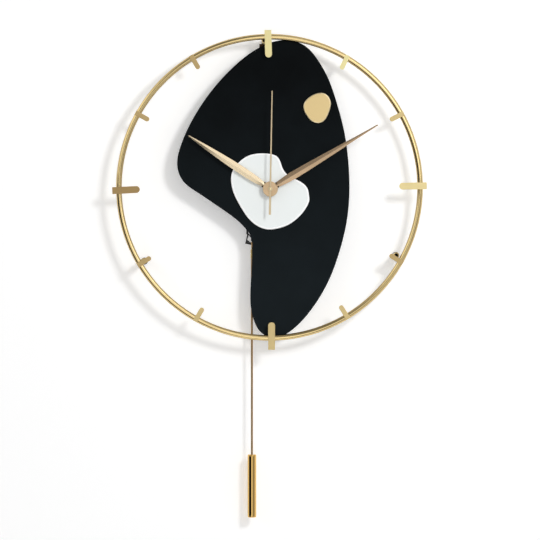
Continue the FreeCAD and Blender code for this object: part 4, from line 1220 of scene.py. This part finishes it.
@dataclass
class RearMarks:
    """The moulded marks on the rear of the case."""

    rise: float = 0.3 * MM
    stroke: float = 0.8 * MM
    sign_size: float = 3.4 * MM
    sign_above_cell: float = 3.2 * MM
    sign_inset: float = 6.5 * MM
    arrow_gap: float = 1.9 * MM
    arrow_degrees: float = 230.0
    arrow_steps: int = 36
    head_length: float = 2.4 * MM
    frame_size: Point = (19.0 * MM, 20.0 * MM)
    frame_inset: Point = (5.0 * MM, 8.0 * MM)
    rib_count: int = 5
    rib_stroke: float = 0.5 * MM
    edge_share: float = 0.4
    head_strokes: float = 3.0

    def add(self, name: str, outline: list[Point]) -> None:
        """Adds one raised mark to the rear cover.

        Args:
            name: The new piece's name.
            outline: Points to the right and up, in order.
        """
        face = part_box("movement_rear_cover")[1].y
        piece = piece_from(slab(outline, face, face + self.rise), name, PALETTE.mark)
        round_edges(piece, self.rise * self.edge_share)
        dress(settle(piece), "movement_rear_cover", extra=True)

    def arrow(self, middle: Point, radius: float) -> list[Point]:
        """The outline of a curved arrow.

        Args:
            middle: The centre that it curves about.
            radius: The radius of its middle line.

        Returns:
            The points of its outline, in order.
        """
        steps = self.arrow_steps
        turns = [math.radians(self.arrow_degrees * i / steps) for i in range(steps + 1)]
        half = self.stroke / 2
        outer = [(radius + half, t) for t in turns]
        inner = [(radius - half, t) for t in reversed(turns)]
        tip = turns[-1] + self.head_length / radius
        wide = half * self.head_strokes
        head = [(radius + wide, turns[-1]), (radius, tip), (radius - wide, turns[-1])]
        x, z = middle
        return [(x + r * math.cos(t), z + r * math.sin(t)) for r, t in outer + head + inner]

    def build(self) -> None:
        """Makes the marks: plus, minus, a curved arrow and a ribbed grip."""
        cell = Cell()
        level = cell.high.z + self.sign_above_cell
        size = self.sign_size
        stroke = self.stroke
        plus = cell.high.x - self.sign_inset
        minus = cell.low.x + self.sign_inset
        if not cell.plus_right:
            plus, minus = minus, plus
        cross = []
        for arm in range(4):
            turn = math.radians(90 * arm)
            for u, w in ((stroke / 2, stroke / 2), (size / 2, stroke / 2), (size / 2, -stroke / 2)):
                x = u * math.cos(turn) + w * math.sin(turn)
                z = w * math.cos(turn) - u * math.sin(turn)
                cross.append((plus + x, level + z))
        self.add("mark_plus", cross)
        self.add("mark_minus", bar_outline((minus, level), size, stroke))
        knob_low, knob_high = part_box("setting_knob")
        middle = middle_of("setting_knob")
        radius = (knob_high.x - knob_low.x) / 2 + self.arrow_gap
        self.add("mark_arrow", self.arrow((middle.x, middle.z), radius))
        cover_low, cover_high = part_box("movement_rear_cover")
        width, height = self.frame_size
        left = cover_low.x + self.frame_inset[0]
        top = cover_high.z - self.frame_inset[1]
        for i in range(self.rib_count):
            place = (left + width / 2, top - height * i / (self.rib_count - 1))
            self.add(f"mark_rib_{'abcdefgh'[i]}", bar_outline(place, width, self.rib_stroke))


@dataclass
class Movement:
    """The quartz movement behind the board, with its gear train and cell."""

    edge: float = 0.25 * MM
    slot_ease: float = 0.5 * MM
    slot_depth: float = 2.0 * MM
    spring_turns: float = 3.0
    spring_wire: float = 0.22 * MM
    spring_wide: float = 4.2 * MM
    spring_narrow: float = 2.0 * MM
    spring_height: float = 1.0 * MM
    spring_steps: int = 40
    wire_steps: int = 10

    def ease_slot(self, shape: Shape) -> None:
        """Sets back the left edge of the drive box's slot, so that the arm's shoulder clears it.

        Args:
            shape: The drive box, which is changed.
        """
        low = min(vertex.co.z for vertex in shape.verts)
        lowest = {round(vertex.co.x, 5) for vertex in shape.verts if vertex.co.z - low < MERGE}
        # The underside starts at the box's own left side, and its next point is the slot's edge.
        slot_left = sorted(lowest)[1]
        for vertex in shape.verts:
            if abs(vertex.co.x - slot_left) < 2 * MERGE and vertex.co.z - low < self.slot_depth:
                vertex.co.x -= self.slot_ease

    def spring_tree(self) -> Tree:
        """A wire that winds inwards as it rises.

        Returns:
            A tree with the spring's sizes as inputs.
        """
        tree = Tree("Conical spring")
        turns, wide, narrow, height, wire = tree.inputs(
            "Turns", "Wide radius", "Narrow radius", "Height", "Wire radius"
        )
        values = {"Resolution": self.spring_steps, "Rotations": turns, "Height": height}
        values.update({"Start Radius": wide, "End Radius": narrow})
        path = tree.result("GeometryNodeCurveSpiral", values)
        values = {"Resolution": self.wire_steps, "Radius": wire}
        section = tree.result("GeometryNodeCurvePrimitiveCircle", values)
        values = {"Curve": path, "Profile Curve": section, "Fill Caps": True}
        tree.finish(tree.result("GeometryNodeCurveToMesh", values))
        return tree

    def make_spring(self) -> None:
        """The spring of the contact at the cell's flat end."""
        cell = Cell()
        sizes = {
            "Turns": self.spring_turns,
            "Wide radius": self.spring_wide,
            "Narrow radius": self.spring_narrow,
            "Height": self.spring_height - 2 * self.spring_wire,
            "Wire radius": self.spring_wire,
        }
        spring = self.spring_tree().grow("contact_spring", PALETTE.steel, sizes)
        foot = Vector((cell.way * (self.spring_height - self.spring_wire), 0, 0))
        spring.data.transform(Matrix.Translation(cell.flat_end - foot) @ cell.turn)
        outward(spring.data)
        dress(spring, "cell_contacts", extra=True)

    def build(self) -> None:
        """Makes every piece of the movement."""
        refined("movement_front_shell", "case_front", PALETTE.case, self.edge)
        refined("movement_rear_cover", "case_rear", PALETTE.case, self.edge / 2)
        refined("fixing_nut", "hexagon_nut", PALETTE.ferrule, self.edge)
        refined("bushing_washer", "brass_washer", PALETTE.ferrule)
        refined("pendulum_drive_box", "drive_case", PALETTE.case, self.edge, self.ease_slot)
        refined("pendulum_drive_cover", "drive_case_rear", PALETTE.case, self.edge)
        refined("pendulum_arm", "swing_arm_stirrup", PALETTE.case, self.edge / 2)
        refined("setting_knob", "knurled_knob", PALETTE.knob, self.edge / 2)
        refined("cover_screws", "slotted_screws", PALETTE.steel, self.edge / 4)
        Cell().build()
        RearMarks().build()
        self.make_spring()
        wheels = ("second", "third", "centre", "motion", "hour", "intermediate")
        plain = {
            PALETTE.steel: ("cell_contacts", "pivot_pin"),
            PALETTE.wheel: (*(f"{place}_wheel" for place in wheels), "cannon_pinion", "coil_bobbin"),
            PALETTE.copper: ("coil_winding", "drive_coil"),
            PALETTE.magnet: ("motor_rotor", "drive_magnet"),
            PALETTE.core: ("motor_stator",),
            PALETTE.laminate: ("circuit_board",),
            PALETTE.case: ("middle_plate",),
            PALETTE.pad: ("movement_gasket",),
            PALETTE.ferrule: ("threaded_bushing",),
        }
        for finish, nodes in plain.items():
            for node in nodes:
                recolour(node, finish)


# Hands


def half_width_at(lines: list[list[Point]], distance: float) -> float:
    """How far a flat piece's edges reach to the side at a distance.

    Args:
        lines: Both ends of each edge, along and across the piece.
        distance: Distance along the piece, in metres.

    Returns:
        Half the width there, in metres.
    """
    reach = 0.0
    for (first, left), (second, right) in lines:
        if first != second and min(first, second) <= distance <= max(first, second):
            share = (distance - first) / (second - first)
            reach = max(reach, abs(left + (right - left) * share))
    return reach


@dataclass
class Blade:
    """A folded hand blade, measured on its construction node and made smooth."""

    node: str
    finish: Finish
    edge: float = 0.35 * MM
    ridge: float = 1.3 * MM
    collar: float = 0.9 * MM
    boss_radius: float = 10.0 * MM
    root: float = 8.2 * MM
    crest: float = 0.09 * MM
    corner: float = 0.07 * MM
    corner_share: float = 0.4
    fold_gain: float = 2.0
    steps: int = 64
    measures: int = 14
    clear_of_boss: float = 1.2
    root_flare: float = 1.5
    tip_round: float = 0.9 * MM
    tip_steps: tuple[float, ...] = (0.75, 0.5, 0.25)
    tip_share: float = 0.3
    fold_degrees: float = 7.0

    def __post_init__(self) -> None:
        """Measures the blade's direction, length and half widths."""
        shape = merged(self.node)
        hub = Vector((HUB[0], 0, HUB[2]))
        points = [vertex.co - hub for vertex in shape.verts]
        self.back = max(p.y for p in points) - self.collar
        flat = [Vector((p.x, 0, p.z)) for p in points]
        reach = max(p.length for p in flat)
        tips = [p for p in flat if p.length > reach - self.corner]
        self.along = sum(tips, Vector()).normalized()
        self.across = self.along.cross(FRONT)
        self.length = max(p.dot(self.along) for p in flat)
        self.tail = -min(p.dot(self.along) for p in flat)
        ends = [[vertex.co - hub for vertex in edge.verts] for edge in shape.edges]
        shape.free()
        self.lines = [[(p.dot(self.along), p.dot(self.across)) for p in pair] for pair in ends]
        start = self.boss_radius * self.clear_of_boss
        span = self.length - MERGE - start
        distances = [start + span * i / self.measures for i in range(self.measures + 1)]
        self.stations = [(distance, half_width_at(self.lines, distance)) for distance in distances]

    def half_width(self, distance: float) -> float:
        """The blade's half width at a distance from the shaft, by a smooth curve.

        Args:
            distance: Distance from the shaft, in metres.

        Returns:
            Half the width there, in metres.
        """
        known = self.stations
        first, second = known[0], known[1]
        if distance <= first[0]:
            slope = (second[1] - first[1]) / (second[0] - first[0])
            return first[1] + slope * self.root_flare * (distance - first[0])
        i = max(k for k in range(len(known) - 1) if known[k][0] <= distance + MERGE)
        p0 = known[max(0, i - 1)][1]
        p1 = known[i][1]
        p2 = known[i + 1][1]
        p3 = known[min(len(known) - 1, i + 2)][1]
        t = (distance - known[i][0]) / (known[i + 1][0] - known[i][0])
        smooth = 2 * p1 + (p2 - p0) * t + (2 * p0 - 5 * p1 + 4 * p2 - p3) * t * t
        smooth += (3 * p1 - p0 - 3 * p2 + p3) * t * t * t
        return smooth / 2

    def across_at(self, distance: float, back: float, side: list[Point]) -> list[Vector]:
        """One ring of points across the blade, from the points on one side of it.

        Args:
            distance: Distance from the shaft, in metres, less than zero on a tail.
            back: Depth of the blade's rear face.
            side: How far to the side and how far out of the wall each point lies.

        Returns:
            Points in order round the section.
        """
        mirrored = [(-u, w) for u, w in reversed(side) if u]
        base = Vector((HUB[0], back, HUB[2])) + self.along * distance
        return [base + self.across * u + FRONT * w for u, w in side + mirrored]

    def section(self, distance: float, narrow: float) -> list[Vector]:
        """One ring of points across the folded blade.

        Args:
            distance: Distance from the shaft, in metres.
            narrow: Share of the width that is kept, less than one near the tip.

        Returns:
            Points in order round the section.
        """
        half = self.half_width(distance) * narrow
        full = self.half_width(distance) / max(width for _, width in self.stations)
        rise = (self.ridge - self.edge) * min(1.0, full * self.fold_gain) * narrow
        corner = min(self.corner, half * self.corner_share)
        top = self.edge + rise
        side = [(half - corner, 0.0), (half, corner), (half, self.edge - corner), (half - corner, self.edge)]
        side += [(self.crest * narrow, top - self.crest * rise / half), (0.0, top)]
        return self.across_at(distance, self.back, side)

    def build(self, name: str) -> Piece:
        """Makes the blade with its own UV map, in metres across and along.

        Args:
            name: The new piece's name.

        Returns:
            The blade.
        """
        distances = [self.root + (self.length - self.root) * i / self.steps for i in range(self.steps + 1)]
        distances += [self.length - self.tip_round * share for share in self.tip_steps]
        sections = []
        for distance in sorted(distances):
            left = (self.length - distance) / self.tip_round
            narrow = math.sqrt(max(0.0, 1 - (1 - left) ** 2)) if left < 1 else 1.0
            sections.append(self.section(distance, max(self.tip_share, narrow)))
        blade = piece_from(lofted(sections), name, self.finish, sharp=self.fold_degrees)
        self.map(blade)
        return blade

    def map(self, piece: Piece) -> None:
        """Gives a piece a UV map in metres, across and along this blade.

        Args:
            piece: The piece, in its place in the scene.
        """
        layer = piece.data.uv_layers.new(name=UV_NAME)
        hub = Vector(HUB)
        for loop in piece.data.loops:
            place = piece.data.vertices[loop.vertex_index].co - hub
            layer.data[loop.index].uv = (place.dot(self.across), place.dot(self.along))


@dataclass
class Hands:
    """The three hands, each of several parts riveted together."""

    disc_segments: int = 96
    small_segments: int = 32
    disc_edge: float = 0.3 * MM
    disc_edge_steps: int = 4
    disc_share: float = 0.94
    disc_thickness: float = 0.7 * MM
    disc_core: float = 0.3 * MM
    disc_sharp: float = 24.0
    groove_depth: float = 0.035 * MM
    groove_shares: tuple[float, ...] = (0.9, 0.76, 0.56, 0.36)
    groove_width: float = 0.22 * MM
    collar_radius: float = 3.2 * MM
    notch_radius: float = 1.0 * MM
    notch_degrees: float = 15.5
    notch_ring: float = 10.3 * MM
    notch_depth: float = 0.12 * MM
    notch_shares: tuple[Point, ...] = ((1.0, 2.0), (0.8, 1.0), (0.6, 1.5))
    core: float = 0.1 * MM
    second_thickness: float = 0.5 * MM
    second_rise: float = 0.4 * MM
    second_chamfer: float = 0.22 * MM
    second_boss_radius: float = 3.0 * MM
    second_clear: float = 1.4
    second_sharp: float = 20.0
    tail_share: float = 0.8
    tip_share: float = 0.7
    boss_edge: float = 0.28 * MM
    boss_groove_radius: float = 1.95 * MM
    boss_groove_depth: float = 0.32 * MM
    pin_radius: float = 1.45 * MM
    pin_core: float = 0.06 * MM
    pin_steps: int = 7

    def turned(
        self, profile: list[Point], segments: int, back: float, name: str, finish: Finish, sharp: float = 30.0
    ) -> Piece:
        """A turned piece about the shafts of the hands.

        Args:
            profile: Radius of each point, and how far it stands out of the wall.
            segments: Steps around.
            back: Depth of the profile's zero.
            name: The new piece's name.
            finish: Its finish.
            sharp: Edges that turn by more than this many degrees stay sharp.

        Returns:
            The new piece.
        """
        shape = spun(profile, segments)
        shape.transform(Matrix.Translation((HUB[0], back, HUB[2])) @ STAND)
        return piece_from(shape, name, finish, sharp)

    def disc_profile(self, radius: float) -> list[Point]:
        """A disc with fine turned grooves in its front face, from the rim to its middle.

        Args:
            radius: The disc's radius.

        Returns:
            Radius of each point, and how far it stands out of the wall.
        """
        top = self.disc_thickness
        edge = self.disc_edge
        inner = radius - edge
        profile = [(self.disc_core, 0.0), (inner, 0.0), (radius, edge)]
        for turn in quarter(self.disc_edge_steps):
            profile.append((inner + edge * math.cos(turn), top - edge + edge * math.sin(turn)))
        for share in self.groove_shares:
            for side, depth in ((1, 0.0), (0, self.groove_depth), (-1, 0.0)):
                profile.append((radius * share + side * self.groove_width, top - depth))
        profile.append((self.disc_core, top))
        return profile

    def make_disc(self, blade: Blade, name: str) -> None:
        """The round boss of a hand, with small dark plugs beside the blade's root that paint the shade in its
        relief notches.

        Args:
            blade: The hand's blade.
            name: The new disc's name, which the other pieces' names start with.
        """
        node = blade.node
        profile = self.disc_profile(blade.boss_radius * self.disc_share)
        disc = self.turned(profile, self.disc_segments, blade.back, name, PALETTE.hub, self.disc_sharp)
        dress(disc, node)
        profile = rounded(self.collar_radius, -blade.collar, 0.0, self.disc_edge)
        collar = self.turned(profile, self.small_segments, blade.back, name + "_collar", PALETTE.ferrule)
        dress(collar, node)
        # Dark plugs that paint the shade of the relief notches.
        depth = self.notch_depth
        profile = [(self.core, 0.0), (self.notch_radius, 0.0)]
        profile += [(self.notch_radius * r, blade.ridge - depth * deep) for r, deep in self.notch_shares]
        profile.append((self.core, profile[2][1]))
        for side, letter in ((-1, "a"), (1, "b")):
            label = f"{name}_notch_{letter}"
            notch = self.turned(profile, self.small_segments, blade.back, label, PALETTE.notch_shade)
            turn = math.radians(self.notch_degrees * side)
            way = blade.along * math.cos(turn) + blade.across * math.sin(turn)
            notch.data.transform(Matrix.Translation(way * self.notch_ring))
            dress(notch, node)

    def make_second_blade(self, node: str, back: float) -> None:
        """The second hand's thin chamfered blade, with its tail.

        Args:
            node: The second hand's construction node.
            back: Depth of the blade's rear face.
        """
        blade = Blade(node, PALETTE.second)
        free = self.second_boss_radius * self.second_clear
        places = (MERGE - blade.tail, -free, free, blade.length - MERGE)
        halves = [half_width_at(blade.lines, place) for place in places]
        tapers = [
            (-blade.tail, halves[0] * self.tail_share),
            (places[0] + self.second_chamfer, halves[0]),
            (places[1], halves[1]),
            (0.0, (halves[1] + halves[2]) / 2),
            (places[2], halves[2]),
            (places[3] - self.second_chamfer, halves[3]),
            (blade.length, halves[3] * self.tip_share),
        ]
        sections = []
        thick = self.second_thickness
        for place, half in tapers:
            chamfer = min(self.second_chamfer, half / 2)
            side = [(half - chamfer / 2, 0.0), (half, chamfer / 2)]
            side += [(half, thick - chamfer), (half - chamfer, thick)]
            sections.append(blade.across_at(place, back, side))
        thin = piece_from(lofted(sections), "second_hand_blade", blade.finish, self.second_sharp)
        blade.map(thin)
        dress(thin, node)

    def make_second_hand(self) -> None:
        """The second hand: a blade, a boss with a groove and the shaft's domed end."""
        node = "second_hand"
        low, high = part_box(node)
        self.make_second_blade(node, low.y + self.second_rise + self.second_thickness)
        inner = self.second_boss_radius - self.boss_edge
        edge = self.boss_edge
        depth = high.y - low.y
        rise = self.boss_groove_depth
        turns = quarter(self.pin_steps)
        profile = [(self.core, 0.0), (inner, 0.0), (self.second_boss_radius, edge)]
        profile += [(inner + edge * math.cos(t), depth - edge + edge * math.sin(t)) for t in turns]
        profile += [(self.boss_groove_radius, depth), (self.boss_groove_radius, depth - rise)]
        profile.append((self.core, depth - rise))
        boss = self.turned(profile, self.disc_segments, high.y, "second_boss", PALETTE.second)
        dress(boss, node)
        profile = [(self.core, 0.0)]
        profile += [(self.pin_radius * math.cos(t), rise * math.sin(t)) for t in turns[:-1]]
        profile.append((self.pin_core, rise))
        pin = self.turned(profile, self.small_segments, low.y + rise, "second_shaft_end", PALETTE.pin)
        dress(pin, node)

    def build(self) -> None:
        """Makes the hands."""
        for node, finish in (("hour_hand", PALETTE.hour_hand), ("minute_hand", PALETTE.minute_hand)):
            blade = Blade(node, finish)
            dress(blade.build(node + "_blade"), node)
            self.make_disc(blade, node + "_disc")
        self.make_second_hand()


# Pendulum


@dataclass
class Pendulum:
    """The rod, its ferrule and the polished bob."""

    segments: int = 96
    end_round: float = 1.3 * MM
    end_steps: int = 8
    seam: float = 0.1 * MM

    def add(self, node: str, name: str, profile: list[Point]) -> None:
        """Adds a turned part of the bob about its node's upright axis.

        Args:
            node: The construction node that it stands for.
            name: The new piece's name.
            profile: Radius and height of each point, in the frame's own heights.
        """
        middle = middle_of(node)
        shape = spun(profile, self.segments)
        shape.transform(Matrix.Translation((middle.x, middle.y, 0)))
        dress(piece_from(shape, name, PALETTE.bob), node)

    def build(self) -> None:
        """Makes the pendulum."""
        tube_low, tube_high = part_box("pendulum_bob")
        plug_low, plug_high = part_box("bob_plugs")
        radius = (tube_high.x - tube_low.x) / 2
        self.add("pendulum_bob", "bob_tube", rounded(radius, tube_low.z, tube_high.z, self.seam))
        whole = rounded(radius, plug_low.z, plug_high.z, self.end_round, self.end_steps)
        for name, low, high in (
            ("bob_cap_top", tube_high.z, plug_high.z),
            ("bob_cap_bottom", plug_low.z, tube_low.z),
        ):
            part = [(r, min(high, max(low, z))) for r, z in whole]
            self.add("bob_plugs", name, [p for i, p in enumerate(part) if i == 0 or p != part[i - 1]])
        recolour("pendulum_rod", PALETTE.rod)
        recolour("rod_ferrule", PALETTE.ferrule)


# Studio


@dataclass(frozen=True)
class Panel:
    """A lit or dark panel of the studio, as the metal mirrors it.

    Its four edges are the X and Z of the direction from the clock to them, its level is how bright it
    is, and soft is half the width of its blurred edges. A later panel covers an earlier one.
    """

    left: float
    right: float
    low: float
    high: float
    level: float
    soft: float


@dataclass
class Studio:
    """The wall, the floor, the light and the camera."""

    metres_per_pixel: float = 0.0012418
    image_pixels: float = 540.0
    ring_pixel_x: float = 269.5
    ring_pixel_y: float = 187.3
    camera_distance: float = 5.0
    sensor: float = 36.0
    farthest: float = 50.0
    paint: float = 0.90
    paint_roughness: float = 0.9
    wall_half_width: float = 2.2
    wall_top: float = 1.8
    floor_level: float = -1.6
    floor_depth: float = 0.45
    key_side: float = 0.57
    key_height: float = 0.42
    key_distance: float = 1.5
    key_size: Point = (0.32, 0.32)
    key_power: float = 13.0
    rear_place: Place = (-0.8, 1.6, 0.5)
    rear_size: Point = (1.5, 1.5)
    rear_power: float = 40.0
    sheen_place: Place = (0.52, -0.75, 0.42)
    sheen_size: Point = (0.3, 0.8)
    sheen_power: float = 1.3
    wall_glow: float = 0.265
    room_level: float = 0.56
    panels: tuple[Panel, ...] = (
        Panel(-1.2, 1.2, 0.66, 1.2, 0.42, 0.1),
        Panel(-1.2, 1.2, -1.2, -0.68, 0.28, 0.1),
        Panel(0.20, 0.78, 0.06, 0.60, 1.00, 0.06),
        Panel(-0.02, 0.22, 0.06, 0.60, 1.30, 0.06),
        Panel(-0.90, -0.44, 0.08, 0.60, 1.20, 0.04),
        Panel(-0.44, 0.0, 0.10, 1.2, 0.23, 0.06),
        Panel(-0.97, -0.28, -1.2, -0.05, 0.10, 0.05),
        Panel(-0.97, -0.26, -0.14, 0.05, 0.01, 0.03),
        Panel(-0.42, -0.08, -0.38, -0.10, 0.95, 0.03),
        Panel(-0.16, 0.12, -0.72, 0.03, 1.35, 0.06),
        Panel(0.57, 0.72, -0.25, 0.06, 0.02, 0.01),
    )

    def make_camera(self) -> None:
        """A camera straight in front, with the photograph's frame."""
        right = (self.image_pixels / 2 - self.ring_pixel_x) * self.metres_per_pixel
        down = (self.image_pixels / 2 - self.ring_pixel_y) * self.metres_per_pixel
        camera = added("Camera", bpy.data.cameras.new("Camera"))
        camera.location = middle_of("dial_ring") + Vector((right, -self.camera_distance, -down))
        camera.rotation_euler = (math.radians(90), 0, 0)
        camera.data.sensor_width = self.sensor
        camera.data.lens = self.sensor * self.camera_distance / (self.image_pixels * self.metres_per_pixel)
        camera.data.clip_end = self.farthest
        bpy.context.scene.camera = camera

    def backdrop_material(self) -> Material:
        """White paint that keeps shadows, and that is see-through from behind and for lamps.

        Returns:
            The material of the wall and the floor.
        """
        shader = Shader("white_wall")
        shader.set(Base_Color=(self.paint, self.paint, self.paint, 1.0), Emission_Color=WHITE)
        shader.set(Roughness=self.paint_roughness, Specular_IOR_Level=0.0)
        path = shader.add("ShaderNodeLightPath").outputs
        seen = path["Is Camera Ray"]
        for kind in ("Is Glossy Ray", "Is Transmission Ray"):
            seen = shader.calculate("MAXIMUM", seen, path[kind])
        shader.link(shader.calculate("MULTIPLY", seen, self.wall_glow), "Emission Strength")
        behind = shader.add("ShaderNodeNewGeometry").outputs["Backfacing"]
        clear = shader.calculate("MAXIMUM", behind, path["Is Shadow Ray"])
        glass = shader.result("ShaderNodeBsdfTransparent")
        mix = shader.result("ShaderNodeMixShader", {0: clear, 1: shader.surface.outputs[0], 2: glass})
        shader.join(mix, shader.output.inputs["Surface"])
        return shader.material

    def make_backdrop(self) -> None:
        """The wall behind the clock and the floor below it."""
        material = self.backdrop_material()
        side = self.wall_half_width
        foot = self.floor_level
        wall = [(-side, 0, foot), (side, 0, foot), (side, 0, self.wall_top), (-side, 0, self.wall_top)]
        front = -self.floor_depth
        floor = [(-side, front, foot), (side, front, foot), (side, 0, foot), (-side, 0, foot)]
        for name, corners in (("wall", wall), ("floor", floor)):
            mesh = bpy.data.meshes.new(name)
            mesh.from_pydata(corners, [], [(0, 1, 2, 3)])
            mesh.materials.append(material)
            placed(name, mesh)

    def make_lamp(self, name: str, offset: Vector, size: Point, power: float) -> Piece:
        """One soft box that points at the hands.

        Args:
            name: The lamp's name.
            offset: The way from the hands to where it hangs.
            size: Its width and height, in metres.
            power: Its power, in watts.

        Returns:
            The lamp.
        """
        light = bpy.data.lights.new(name, "AREA")
        light.shape = "RECTANGLE"
        light.size, light.size_y = size
        light.energy = power
        lamp = added(name, light)
        lamp.location = Vector(HUB) + offset
        lamp.rotation_euler = (-offset).to_track_quat("-Z", "Y").to_euler()
        return lamp

    def make_lamps(self) -> None:
        """A key lamp that metal doesn't mirror, a soft box only for metal, and a lamp behind the wall."""
        way = Vector((self.key_side, -1, self.key_height)) * self.key_distance
        key = self.make_lamp("key", way, self.key_size, self.key_power)
        key.visible_glossy = False
        sheen = self.make_lamp("sheen", Vector(self.sheen_place), self.sheen_size, self.sheen_power)
        sheen.visible_diffuse = False
        sheen.visible_camera = False
        self.make_lamp("rear", Vector(self.rear_place), self.rear_size, self.rear_power)

    def make_world(self) -> None:
        """A grey room with lit and dark panels, which is plain white to the camera."""
        world = bpy.data.worlds.new("Studio")
        bpy.context.scene.world = world
        world.use_nodes = True
        room = Graph(world.node_tree)
        way = room.add("ShaderNodeTexCoord").outputs["Generated"]
        split = room.add("ShaderNodeSeparateXYZ", {0: way}).outputs
        level = room.result("ShaderNodeValue")
        level.default_value = self.room_level
        for panel in self.panels:
            inside = None
            for axis, edge, inwards in (
                ("X", panel.left, panel.soft),
                ("X", panel.right, -panel.soft),
                ("Z", panel.low, panel.soft),
                ("Z", panel.high, -panel.soft),
            ):
                values = {"Value": split[axis], "From Min": edge - inwards, "From Max": edge + inwards}
                ramp = room.result("ShaderNodeMapRange", values, interpolation_type="SMOOTHSTEP")
                inside = ramp if inside is None else room.calculate("MULTIPLY", inside, ramp)
            level = room.result("ShaderNodeMix", {0: inside, 2: level, 3: panel.level})
        seen = room.add("ShaderNodeLightPath").outputs["Is Camera Ray"]
        lit = room.result("ShaderNodeBackground", {"Color": WHITE, "Strength": level})
        white = room.result("ShaderNodeBackground", {"Color": WHITE, "Strength": 1.0})
        mix = room.result("ShaderNodeMixShader", {0: seen, 1: lit, 2: white})
        room.join(mix, room.add("ShaderNodeOutputWorld").inputs["Surface"])

    def build(self) -> None:
        """Makes the whole studio."""
        bpy.context.scene.view_settings.view_transform = "Standard"
        self.make_camera()
        self.make_backdrop()
        self.make_lamps()
        self.make_world()


def main() -> None:
    """Builds the clock's looks, from the studio to the pendulum."""
    logging.basicConfig(level=logging.INFO, format="%(name)s: %(message)s")
    for part in (Studio(), Dial(), Board(), Movement(), Hands(), Pendulum()):
        log.info("making %s", type(part).__name__)
        part.build()


if __name__ == "__main__":
    main()
